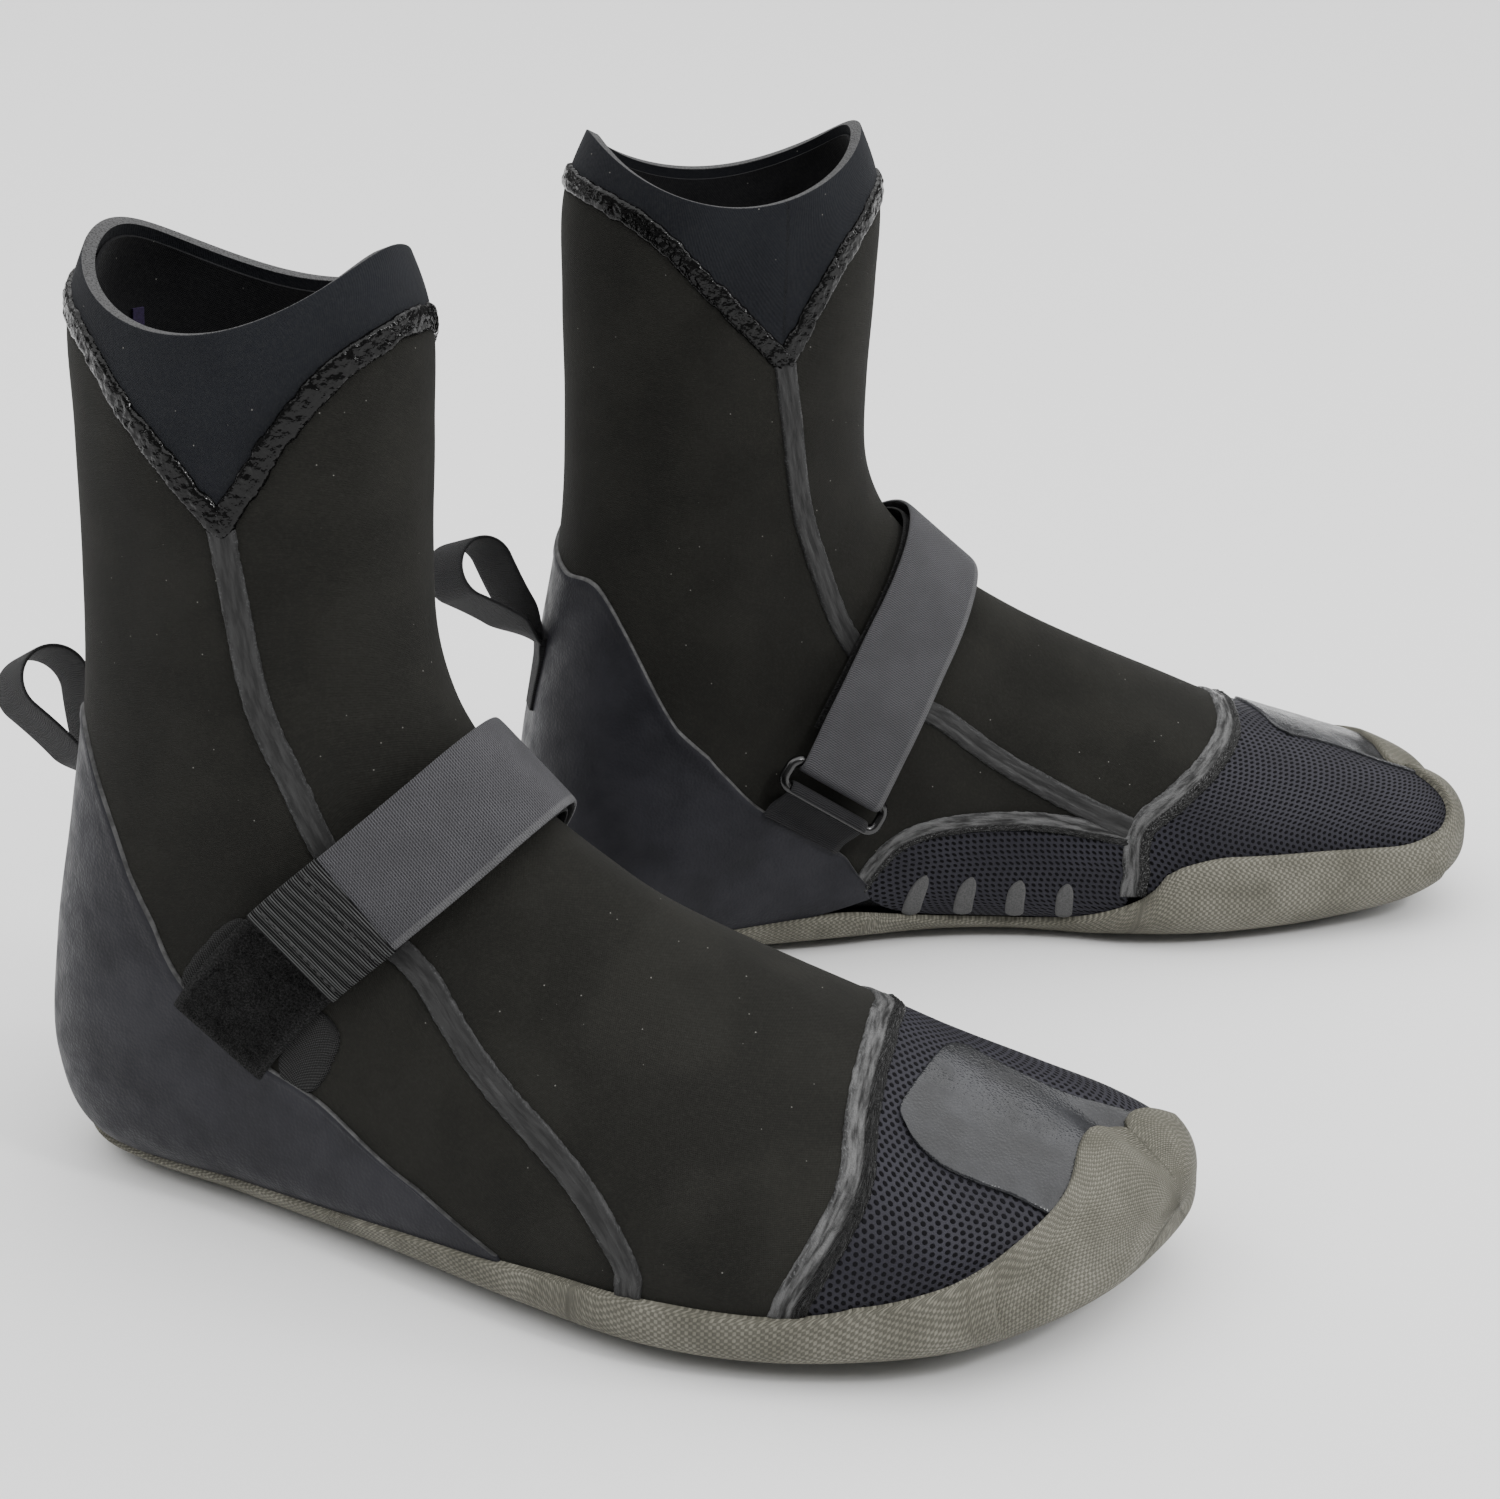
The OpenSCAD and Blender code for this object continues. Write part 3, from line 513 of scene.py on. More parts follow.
def tape(boot, name, route, start, stop, half, thickness, steps, across, material, ragged, seed,
         profile):
    """Tape that follows the skin. half is half its width; profile gives its height in shares of
    the thickness at the lengths along it and places across it, and ragged roughens its edges."""
    tear, two_edges, foot, end_round, least_end = 1.7, 5.5, 0.1, 1.5, 0.2
    t, w = spread(steps, across, start, stop)
    s, a, side, length = skin_run(lambda place: line(route, place), t, 0.005)
    rough = ragged * layered(length / tear, np.sign(w) * two_edges, seed)
    reach = w * (half + rough * np.abs(w) ** 3)
    s, a = on_surface(s, a, side * reach[..., None])
    ends = np.maximum(rounded(near_ends(length, end_round), 2), least_end)
    lift = foot + thickness * profile(length, w) * ends
    return on_skin(boot, name, s, a, lift, SUNK, material)


def strap_frame(t):
    """Middle points, outward and across directions of the strap at the places t."""
    s, a = pair(line(STRAP_LINE, t))
    up = outward(s, a)
    ahead = heading(lambda place: line(STRAP_LINE, place), t, 0.01)
    return skin(s, a), up, unit(np.cross(up, ahead))


def webbing(boot, name, centres, ups, sides, half, low, high, material, edge=0.5, across=24,
            power=14, under=0.6):
    """Flat band through centres, rounded at its edges above, and by the share under below."""
    w = soft_width(across)
    fall = edge * (1 - rounded(w, power))
    low, high, half = (np.broadcast_to(size, len(centres))[:, None] for size in (low, high, half))
    base = centres[:, None, :] + sides[:, None, :] * (w * half)[..., None]
    up = ups[:, None, :]
    outer = base + up * (high - fall)[..., None]
    inner = base + up * (low + under * fall)[..., None]
    return solid(boot, name, outer, inner, [MAT[material]])


# ---- materials ----
class Shade:
    """A material in the making: short calls that add shader nodes and link them. Its even
    values are set on the shader's own sockets."""

    def __init__(self, name, roughness, specular=0.5, sheen=0.0, sheen_roughness=0.5):
        self.material = bpy.data.materials.new(name)
        self.material.use_nodes = True
        self.tree = self.material.node_tree
        self.tree.nodes.clear()
        self.shader = self.tree.nodes.new("ShaderNodeBsdfPrincipled")
        output = self.tree.nodes.new("ShaderNodeOutputMaterial")
        self.tree.links.new(self.shader.outputs[0], output.inputs[0])
        for key, value in (("Roughness", roughness), ("Specular IOR Level", specular),
                           ("Sheen Weight", sheen), ("Sheen Roughness", sheen_roughness)):
            self.shader.inputs[key].default_value = value

    def give(self, socket, value):
        if hasattr(value, "links"):
            self.tree.links.new(value, socket)
        elif value is not None:
            socket.default_value = value

    def add(self, kind, inputs=(), output=0, **options):
        made = self.tree.nodes.new(kind)
        for key, value in options.items():
            setattr(made, key, value)
        for key, value in dict(inputs).items():
            self.give(made.inputs[key], value)
        return made.outputs[output]

    def math(self, operation, a, b=None, c=None):
        made = self.tree.nodes.new("ShaderNodeMath")
        made.operation = operation
        for socket, value in zip(made.inputs, (a, b, c)):
            self.give(socket, value)
        return made.outputs[0]

    def span(self, value, low, high, to_low=0.0, to_high=1.0):
        return self.add("ShaderNodeMapRange", {0: value, 1: low, 2: high, 3: to_low, 4: to_high},
                        interpolation_type="SMOOTHSTEP")

    def blend(self, share, a, b):
        made = self.tree.nodes.new("ShaderNodeMix")
        made.data_type = "RGBA"
        self.give(made.inputs["Factor"], share)
        self.give(made.inputs["A"], a)
        self.give(made.inputs["B"], b)
        return made.outputs["Result"]

    def ramp(self, value, low, high, dark, light, to_low=0.0, to_high=1.0):
        """Colour that goes from dark to light as the value goes from low to high."""
        return self.blend(self.span(value, low, high, to_low, to_high), dark, light)

    def times(self, a, b):
        return self.math("MULTIPLY", a, b)

    def plus(self, a, b):
        return self.math("ADD", a, b)

    def place(self):
        """Place in the piece, in millimetres."""
        where = self.add("ShaderNodeTexCoord", output="Object")
        return self.add("ShaderNodeVectorMath", {0: where, "Scale": 1 / MM}, operation="SCALE")

    def cloth(self):
        """Place along the cloth, in millimetres."""
        return self.add("ShaderNodeUVMap", uv_map="Weave")

    def weave(self):
        """Millimetres across and along the cloth, apart."""
        made = self.tree.nodes.new("ShaderNodeSeparateXYZ")
        self.give(made.inputs[0], self.cloth())
        return made.outputs[0], made.outputs[1]

    def noise(self, vector, cell, detail=2.0, rough=0.5):
        return self.add("ShaderNodeTexNoise", {"Vector": vector, "Scale": 1 / cell,
                                               "Detail": detail, "Roughness": rough})

    def spots(self, vector, cell):
        return self.add("ShaderNodeTexVoronoi", {"Vector": vector, "Scale": 1 / cell})

    def wave(self, value, period, phase=0.0):
        """Sine of a value with that period, from -1 to 1."""
        return self.math("SINE", self.math("MULTIPLY_ADD", value, 2 * math.pi / period, phase))

    def bump(self, height, distance, normal=None):
        return self.add("ShaderNodeBump", {"Height": height, "Distance": distance * MM,
                                           "Strength": 1.0, "Normal": normal})

    def finish(self, colour=None, roughness=None, normal=None):
        for key, value in (("Base Color", colour), ("Roughness", roughness), ("Normal", normal)):
            self.give(self.shader.inputs[key], value)
        return self.material


def grey(value, tint=(1, 1, 1)):
    """Linear colour of an sRGB grey level from 0 to 255, tinted."""
    level = value / 255
    linear = level / 12.92 if level < 0.04045 else ((level + 0.055) / 1.055) ** 2.4
    return (linear * tint[0], linear * tint[1], linear * tint[2], 1)


def jersey(name, dark, light, sheen):
    """Knit face of neoprene, slowly uneven, with a fine stitch and sparse specks of lint."""
    shade = Shade(name, 0.9, 0.12, sheen, 0.45)
    where = shade.place()
    fine = shade.noise(where, 0.8, 2, 0.7)
    colour = shade.ramp(shade.noise(where, 26, 3), 0.35, 0.65, dark, light)
    # faint pale fine mottle: painted highlight on the fibres
    colour = shade.ramp(fine, 0.35, 0.75, colour, grey(96, (1, 1, 0.9)), 0, 0.06)
    colour = shade.ramp(shade.spots(where, 5), 0.02, 0.05, colour, grey(120, (1, 0.98, 0.9)), 1, 0)
    x, y = shade.weave()
    stitch = shade.times(shade.wave(x, 0.7), shade.wave(y, 0.6))
    normal = shade.bump(shade.noise(where, 1.6, 3), 0.16, shade.bump(stitch, 0.05))
    return shade.finish(colour, shade.span(fine, 0.2, 0.8, 0.8, 0.98), normal)


def foam():
    """Raw cut edge of the neoprene, with open pores."""
    shade = Shade("raw_foam_edge", 0.95, 0.2)
    where = shade.place()
    pores = shade.spots(where, 0.55)
    grain = shade.noise(where, 0.4, 3, 0.7)
    colour = shade.ramp(pores, 0.1, 0.6, grey(48), grey(78, (1, 1, 1.02)))
    colour = shade.ramp(grain, 0.4, 0.8, colour, grey(100), 0, 0.5)
    return shade.finish(colour, None, shade.bump(pores, 0.25, shade.bump(grain, 0.12)))


def mesh_knit():
    """Knit with a triangular net of holes: the sum of three waves, 60 degrees apart."""
    shade = Shade("mesh_knit", 0.62, 0.12, 0.01, 0.4)
    x, y = shade.weave()
    slope, half = shade.times(y, math.sqrt(3) / 2), shade.times(x, 0.5)
    ways = (x, shade.plus(half, slope), shade.math("SUBTRACT", slope, half))
    first, second, third = (shade.wave(way, 1.85, math.pi / 2) for way in ways)
    hole = shade.span(shade.plus(shade.plus(first, second), third), -0.3, 1.5)
    thread = shade.math("SUBTRACT", 1.0, hole)
    strand = shade.noise(shade.cloth(), 0.35, 2, 0.6)
    # thread colour paler in streaks: painted sheen on the threads
    shine = shade.blend(strand, grey(28, (0.96, 0.93, 1.28)), grey(58, (0.97, 0.95, 1.2)))
    colour = shade.blend(hole, shine, grey(8, (1, 0.95, 1.3)))
    wide = shade.noise(shade.place(), 18, 2)
    colour = shade.ramp(wide, 0.3, 0.7, colour, grey(24, (1, 0.96, 1.2)), 0, 0.3)
    normal = shade.bump(thread, 0.38, shade.bump(strand, 0.06))
    return shade.finish(colour, shade.span(hole, 0, 1, 0.5, 0.9), normal)


def rubber(name, dark, light, roughness, grain, shine, cell=0.9):
    """Smooth rubber skin with a fine leathery grain and faint smudges."""
    shade = Shade(name, roughness, shine)
    where = shade.place()
    wide = shade.noise(where, 22, 4, 0.6)
    smudge = shade.noise(where, 7, 3, 0.6)
    rough = shade.span(smudge, 0.3, 0.75, roughness - 0.07, roughness + 0.12)
    normal = shade.bump(shade.spots(where, cell), grain, shade.bump(wide, 0.5))
    return shade.finish(shade.ramp(wide, 0.3, 0.7, dark, light), rough, normal)


def sole_rubber():
    """Rubber covered by rows of small raised dots, with painted shade in the gaps between them."""
    shade = Shade("sole_rubber", 0.7, 0.2)
    x, y = shade.weave()
    where = shade.place()
    pitch = 1.9
    dots = shade.times(shade.wave(x, pitch), shade.wave(y, pitch))
    ribs = shade.times(shade.wave(y, pitch), 0.35)
    raised = shade.span(shade.plus(dots, ribs), -0.7, 0.9)
    wide = shade.noise(where, 16, 4, 0.6)
    colour = shade.ramp(wide, 0.3, 0.7, grey(106, (1.04, 1, 0.8)), grey(128, (1.04, 1, 0.82)))
    # the gaps between the dots are darkened: painted shade
    colour = shade.ramp(raised, 0.1, 0.9, colour, grey(54, (1, 0.97, 0.76)), 0.6, 0)
    dirt = shade.noise(where, 3.5, 4, 0.65)
    colour = shade.ramp(dirt, 0.55, 0.8, colour, grey(66, (1, 0.96, 0.78)), 0, 0.35)
    normal = shade.bump(raised, 0.3, shade.bump(shade.noise(where, 0.5, 2), 0.05))
    return shade.finish(colour, None, normal)


def seam_tape(name, level, gloss, bead=False):
    """Glued tape: long streaks, paler where glossy, and a pale line along each edge, both painted
    highlight; with bead, one side of it is covered by crumpled dark glue with specks painted as
    glints."""
    shade = Shade(name, gloss, 0.22)
    x, y = shade.weave()
    deep = 36 if bead else 8
    drawn = shade.add("ShaderNodeCombineXYZ", {0: x, 1: shade.times(y, 0.16)})
    streak = shade.noise(drawn, 1.6, 3, 0.6)
    crumb = shade.noise(shade.cloth(), 0.7, 3, 0.7)
    # streaks are paler where they are glossy: painted highlight, much stronger with bead
    colour = shade.ramp(streak, 0.3, 0.7, grey(level - deep), grey(level + deep - 2))
    # a pale line along each edge: painted edge highlight
    near = shade.span(shade.math("ABSOLUTE", x), 2.0, 3.5)
    painted_edge_highlight = shade.times(near, shade.span(crumb, 0.5, 0.7))
    colour = shade.blend(painted_edge_highlight, colour, grey(level + 34, (0.98, 1, 1.02)))
    if bead:
        glued = shade.span(x, 0.1, 0.9)
        # pale specks in the dark glue: painted glints
        colour = shade.blend(glued, colour, shade.ramp(crumb, 0.5, 0.68, grey(16), grey(92)))
        streak = shade.math("MAXIMUM", streak, shade.times(glued, 0.62))
    rough = shade.span(streak, 0.4, 0.68, gloss + 0.45, gloss)
    normal = shade.bump(streak, 0.4, shade.bump(crumb, 0.5 if bead else 0.12))
    return shade.finish(colour, rough, normal)


def glue():
    """Shiny black glue in soft wrinkles."""
    shade = Shade("seam_glue", 0.1, 0.22)
    wrinkle = shade.noise(shade.place(), 1.5, 2, 0.5)
    return shade.finish(shade.blend(wrinkle, grey(4), grey(12)),
                        shade.span(wrinkle, 0.3, 0.7, 0.06, 0.22), shade.bump(wrinkle, 0.45))


def twill(name, level, pitch, edge):
    """Fine webbing: ribs across its width, broken by a diagonal, with a paler woven edge."""
    shade = Shade(name, 0.6, 0.12, 0.02, 0.35)
    x, y = shade.weave()
    diagonal = shade.wave(shade.plus(x, y), pitch * 1.5)
    broken = shade.times(diagonal, shade.wave(x, pitch * 0.75))
    weave = shade.plus(shade.times(shade.wave(y, pitch), 0.6), shade.times(broken, 0.5))
    fuzz = shade.noise(shade.cloth(), 0.3, 2, 0.7)
    wide = shade.noise(shade.cloth(), 14, 2)
    colour = shade.ramp(weave, -0.8, 0.9, grey(level * 0.55, (1, 0.99, 1.1)),
                        grey(level * 1.2, (1, 0.99, 1.08)))
    colour = shade.ramp(fuzz, 0.4, 0.8, colour, grey(level * 1.5), 0, 0.3)
    colour = shade.ramp(shade.math("ABSOLUTE", x), edge, edge + 0.8, colour,
                        grey(level * 1.5 + 10), 0, 0.3)
    colour = shade.ramp(wide, 0.3, 0.7, colour, grey(level * 0.66, (1, 1, 1.05)), 0, 0.25)
    return shade.finish(colour, None, shade.bump(weave, 0.16, shade.bump(fuzz, 0.05)))


def grosgrain():
    """Tab with pale ribs and dark gaps, the dark being painted shade in the grooves between the
    ribs.
    """
    shade = Shade("grip_tab", 0.6, 0.1)
    ridge = shade.wave(shade.weave()[1], RIB_PITCH, -math.pi / 2)
    fuzz = shade.noise(shade.cloth(), 0.3, 2, 0.7)
    pale = shade.blend(fuzz, grey(62, (0.98, 1, 1)), grey(86, (0.98, 1.01, 1)))
    return shade.finish(shade.ramp(ridge, -0.2, 0.8, grey(10), pale), None,
                        shade.bump(fuzz, 0.06))


def pile():
    shade = Shade("loop_pile", 0.85, 0.15, 0.03, 0.35)
    knots = shade.noise(shade.cloth(), 0.55, 3, 0.75)
    return shade.finish(shade.ramp(knots, 0.4, 0.7, grey(6), grey(48)), None,
                        shade.bump(knots, 0.6))


def knit_patch():
    shade = Shade("anchor_fabric", 0.7, 0.12)
    x, y = shade.weave()
    weave = shade.times(shade.wave(x, 0.8), shade.wave(y, 0.8))
    return shade.finish(shade.ramp(weave, -0.6, 0.8, grey(24), grey(60)), None,
                        shade.bump(weave, 0.2))


def plain(name, dark, light, roughness, cell=0.6, depth=0.1, shine=0.5):
    """Plain material with a fine mottle and bump."""
    shade = Shade(name, roughness, shine)
    grain = shade.noise(shade.place(), cell, 3, 0.65)
    return shade.finish(shade.ramp(grain, 0.3, 0.7, dark, light), None,
                        shade.bump(grain, depth))


MAT = {
    "jersey": jersey("neoprene_jersey", grey(27, (1, 0.98, 0.84)), grey(33, (1, 0.98, 0.84)), 0.02),
    "collar": jersey("collar_neoprene", grey(25, (0.92, 1, 1.3)), grey(30, (0.92, 1, 1.25)), 0.03),
    "foam": foam(),
    "mesh": mesh_knit(),
    "sole": sole_rubber(),
    "counter": rubber("counter_rubber", grey(35, (0.98, 0.98, 1.16)), grey(45, (0.98, 0.98, 1.16)),
                      0.46, 0.1, 0.12),
    # paler rubber for the heel counter's top edge: painted highlight along its rim
    "painted_edge_highlight": plain("rubber_edge_highlight", grey(34), grey(70), 0.6, 3.5),
    "overlay": rubber("overlay_rubber", grey(25, (0.96, 1, 1.14)), grey(47, (0.96, 1, 1.14)),
                      0.22, 0.11, 0.4, 0.7),
    "tape": seam_tape("seam_tape", 44, 0.3),
    "toe_tape": seam_tape("toe_seam_tape", 64, 0.16, True),
    "glue": glue(),
    "ink": plain("printed_ink", grey(66), grey(84), 0.55, 0.5, 0.05, shine=0.15),
    "lining": jersey("fleece_lining", grey(20, (1, 1, 1.15)), grey(26, (1, 1, 1.15)), 0.05),
    "insole": plain("insole_foam", grey(42), grey(54), 0.9, 0.8, 0.2),
    "purple": plain("liner_tape", grey(32, (1, 0.5, 2.2)), grey(42, (1, 0.5, 2.2)), 0.8),
    "pile": pile(),
    "patch": knit_patch(),
    "webbing": twill("strap_webbing", 77, 0.65, 13.2),
    "keeper": twill("keeper_webbing", 40, 0.65, 12.6),
    "grip": grosgrain(),
    "ring": plain("ring_plastic", grey(8), grey(14), 0.22, 3, 0.02, shine=0.6),
    "hook": plain("hook_tape", grey(12), grey(24), 0.6, 0.5, 0.3),
    "ribbon": twill("loop_webbing", 30, 0.6, 9.4),
    "thread": plain("sewing_thread", grey(10), grey(34), 0.6, 0.4, 0.1),
}


# ---- the pieces of one boot ----
def fix(boot, piece, part, slot, *nodes):
    """Lets a piece ride on one of the boot's bodies and stand for CAD nodes."""
    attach(piece, boot.body(part))
    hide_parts(*[boot.body(n) for n in nodes])


def bend(boot, piece, nodes, first, second, points):
    """Hides the CAD nodes that a piece stands for and bakes its placement into its points;
    the two bodies and the two points are not used.
    """
    start, stop = (Vector(p) for p in boot.world(points))
    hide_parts(*[boot.body(n) for n in nodes])
    boot.body(first)
    boot.body(second)
    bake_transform(piece)


def collar_line(v):
    front = line(V_FRONT, np.clip(v / 0.4, 0, 1))
    back = line(V_BACK, np.clip((v - 0.4) / 0.6, 0, 1))
    return np.where((v < 0.4)[..., None], front, back)


def rim_angle(rim, s):
    """Angle of the sole's rim at section s, with its corners rounded."""
    rim = np.array(rim, float)
    near = [np.interp(s + step, rim[:, 0], rim[:, 1]) for step in (-0.24, -0.12, 0, 0.12, 0.24)]
    return sum(near) / len(near)


def sag(s, a, depth, seed):
    """Slow unevenness of soft neoprene."""
    x, y, z = np.moveaxis(skin(s, a), -1, 0)
    return depth * layered((x + 0.7 * z) / 34, (y + 0.4 * z) / 30, seed, 2)


def panel_height(seed):
    return lambda u, v, s, a: sag(s, a, 0.35, seed)


def upper(boot):
    """Shin, heel, toe and arch panels, and the sock under the foot."""
    inner_back = [[s, a + 360] for s, a in INNER_SEAM]
    toe_left = [[11.4, -96], [13, -93], [14.6, -95], [16, -98], [17.4, -102]]
    toe_right = [[13.4, 100], [14.4, 100], [15.4, 97], [16.2, 98], [17.4, 102]]
    toe_end = [[17.4, -102], [17.4, -50], [17.4, 0], [17.4, 50], [17.4, 102]]
    arch_rear = [[10.1, -128], [9.75, -116], [9.4, -98]]
    arch_front = [[11.3, -129], [11.38, -108], [11.38, -78]]
    arch_low = [[10.1, -128], [10.6, -129.5], [11.3, -129]]
    arch_high = [[9.4, -98], [9.45, -85], [9.85, -80], [10.5, -77], [11.38, -78]]
    sock_outer = [[7.9, 178], [8.4, 150], [9.4, 132], [10.6, 116], [12, 106], [13.4, 104],
                  [15.4, 99], [16.2, 100], [17.2, 104]]
    sock_inner = [[7.9, 182], [8.4, 210], [9.3, 236], [9.9, 229], [11.35, 226], [11.75, 256],
                  [13.2, 264], [16, 260], [17.2, 256]]
    # name, path, rows, columns, height, material, slot, node
    panels = (
        ("shin_panel", between(V_FRONT, FRONT_HEM, INNER_SEAM, OUTER_SEAM), 150, 90,
         panel_height(3), "jersey", "neoprene_jersey", "front_panel"),
        ("heel_panel", between(V_BACK, REAR_HEM, OUTER_SEAM, inner_back), 120, 150,
         panel_height(7), "jersey", "neoprene_jersey", "rear_panel"),
        ("toe_mesh", between(TOE_SEAM, toe_end, toe_left, toe_right), 90, 120,
         -0.1, "mesh", "mesh_neoprene", "toe_box"),
        ("arch_mesh", between(arch_rear, arch_front, arch_low, arch_high), 60, 60,
         -0.1, "mesh", "mesh_neoprene", "arch_panel"),
        ("sole_sock", lambda u, v: ruled(sock_outer, sock_inner, u, v), 60, 40,
         0, "jersey", "neoprene_jersey", "bottom_sock"))
    for name, path, rows, cols, height, material, slot, node in panels:
        piece = patch(boot, name, path, rows, cols, -NEOPRENE, height, [material])
        fix(boot, piece, "boot", slot, node)


def collar(boot):
    def path(u, v):
        s, a = pair(collar_line(v))
        rim = 0.25 + 0.72 * np.sin(np.radians(a)) ** 2
        return mix(rim, s - 0.01, u), a

    piece = patch(boot, "cuff", path, 40, 220, -3.6,
                  lambda u, v, s, a: sag(s, a, 0.2, 11) - 0.25,
                  ["collar", "foam"], (0.02, 0, 0.5), wrap=True, edge_rows=2)
    fix(boot, piece, "boot", "collar_neoprene", "collar")


def collar_bead(boot):
    """Thick bead of wrinkled glue along the collar's seam."""
    half, foot, body, sunk = 3.1, 0.15, 0.85, -0.6
    t, w = spread(760, 17, 0)
    s, a, side, length = skin_run(lambda place: collar_line(np.clip(place, 0, 1)), t, 0.004)
    folds = layered(length / 1.9, w * 1.2, 21)
    lumps = np.abs(layered(length / 2.6, w * 1.5 + 9, 31))
    reach = w * (half + 0.7 * layered(length / 3.5, np.sign(w) * 3, 41) * np.abs(w))
    s, a = on_surface(s, a, side * reach[..., None])
    lift = foot + rounded(w, 4) * (body + 0.4 * folds + 0.4 * lumps)
    piece = on_skin(boot, "cuff_bead", s, a, np.maximum(lift, foot), sunk, "glue")
    fix(boot, piece, "boot", "seam_glue", "collar_seam")


def seams(boot):
    def ridge(length, w):
        valley = 0.35 * np.exp(-((w - 0.15) / 0.16) ** 2)
        return rounded(w, 10) * (1 - valley + 0.16 * layered(length / 5, w * 2, 5))

    def stitched(length, w):
        """Smooth tape on one side, a bumpy stitched bead on the other."""
        bead = np.exp(-((w - 0.55) / 0.34) ** 2)
        lumps = np.abs(layered(length / 1.25, w * 4, 61))
        return rounded(w, 8) * (0.7 + 0.15 * layered(length / 4, w, 62) + bead * 1.5 * lumps)

    # name, node, route, from, to, half width, thickness, rows, columns, material, ragged, seed
    for name, node, *sizes, profile in (
            ("outer_tape", "outer_seam_tape", OUTER_SEAM, 0.0, 0.96, 3.5, 0.8, 520, 18, "tape",
             0.35, 51, ridge),
            ("inner_tape", "inner_seam_tape", INNER_SEAM, 0.0, 0.99, 3.5, 0.8, 420, 18, "tape",
             0.35, 52, ridge),
            ("toe_bead", "toe_seam", TOE_SEAM, 0.0, 0.985, 4.2, 0.8, 420, 26, "toe_tape",
             0.3, 53, stitched),
            ("arch_bead", "arch_seam", ARCH_SEAM, 0.12, 0.98, 3.0, 0.7, 220, 18, "toe_tape",
             0.3, 54, stitched)):
        fix(boot, tape(boot, name, *sizes, profile), "boot", "seam_tape", node)


def evened(s, a, reach=7):
    """Angle a, moved a little just behind the widest place of a section, where the skin's
    lines lie far apart, so that an outline crosses it evenly."""
    power = 2 / along(LAST, s)[..., 9]
    behind = np.clip(np.minimum(a - 90, 270 - a) / reach, 0, 1)
    moved = reach * (behind ** (1 / power) - behind)
    return a + np.where(a < 180, moved, -moved)


def heel_rubber(boot):
    def path(u, v):
        s, a = ruled(COUNTER_TOP, COUNTER_HEM, v, u)
        return s, evened(s, a)

    def height(u, v, s, a):
        lip = 0.35 * np.exp(-((u - 0.02) / 0.012) ** 2)
        return 0.95 + lip + sag(s, a, 0.25, 17)

    # the first rows along the top edge take the paler edge material: painted highlight
    piece = patch(boot, "heel_skin", path, 80, 220, -0.1, height, ["counter", "painted_edge_highlight"],
                  (0.012, 0.004, 0.7), edge_rows=3)
    fix(boot, piece, "boot", "counter_rubber", "heel_counter")


def overlay(boot):
    def path(u, v):
        s, a = ruled(OVERLAY_INNER, OVERLAY_OUTER, u, v)
        corner = (2 * v - 1) ** 10 * np.exp(-u / 0.06)
        return s - mix(0.02, 0.2, u) * np.sin(np.pi * v) + 0.24 * corner, a

    piece = patch(boot, "toe_bridge", path, 60, 60, -0.2, 0.95, ["overlay"], (0.02, 0.02, 0.6))
    fix(boot, piece, "boot", "overlay_rubber", "toe_overlay")


def sole(boot):
    """Outsole with its cap, which closes over the toes from both sides."""
    rim_height, tread_height, rim_width = 2.5, 4.6, 24
    cap_from, toe_from, end_from = 15, 15.5, 16.6

    def rims(s):
        """Angles of the outer and of the inner rim, which meet where the cap is closed."""
        s = np.minimum(s, SOLE_CLOSE)
        return rim_angle(SOLE_OUTER, s), 360 + rim_angle(SOLE_INNER, s)

    def path(u, v):
        s = mix(SOLE_FROM, LAST_TIP, u)
        a = mix(*rims(s), v)
        from_cap = np.where(a > 180, a - 360, a) - CAP_ANGLE
        back = CAP_REACH * np.exp(-(from_cap / CAP_SPREAD) ** 2) * smooth(s - cap_from)
        return s - back * smooth((LAST_TIP - s) / 1.3), a

    def height(u, v, s, a):
        s = mix(SOLE_FROM, LAST_TIP, u)
        outer, inner = rims(s)
        rim = np.minimum(a - outer, inner - a)
        below = np.where(s > toe_from, smooth((90 - np.abs(a - 180)) / 50), 1)
        below = below * (1 - smooth((s - end_from) / 1.1))
        closed = smooth((s - SOLE_CLOSE) / 0.3 + 1)
        unfallen = closed * rim_fall(0.5 + 0 * u, v, 0, CAP_EDGE, SOLE_EDGE_DEPTH)
        tread = np.minimum(below, smooth(rim / rim_width))
        return mix(rim_height, tread_height, tread) + unfallen

    def stand(points):
        """Flattens the tread where the boot stands on it."""
        return np.stack([points[..., 0], points[..., 1], np.maximum(points[..., 2], 0)], -1)

    piece = patch(boot, "sole", path, 190, 150, 0.0, height, ["sole"],
                  (0.006, CAP_EDGE, SOLE_EDGE_DEPTH), tip=True, shape=stand)
    fix(boot, piece, "boot", "sole_rubber", "outsole")


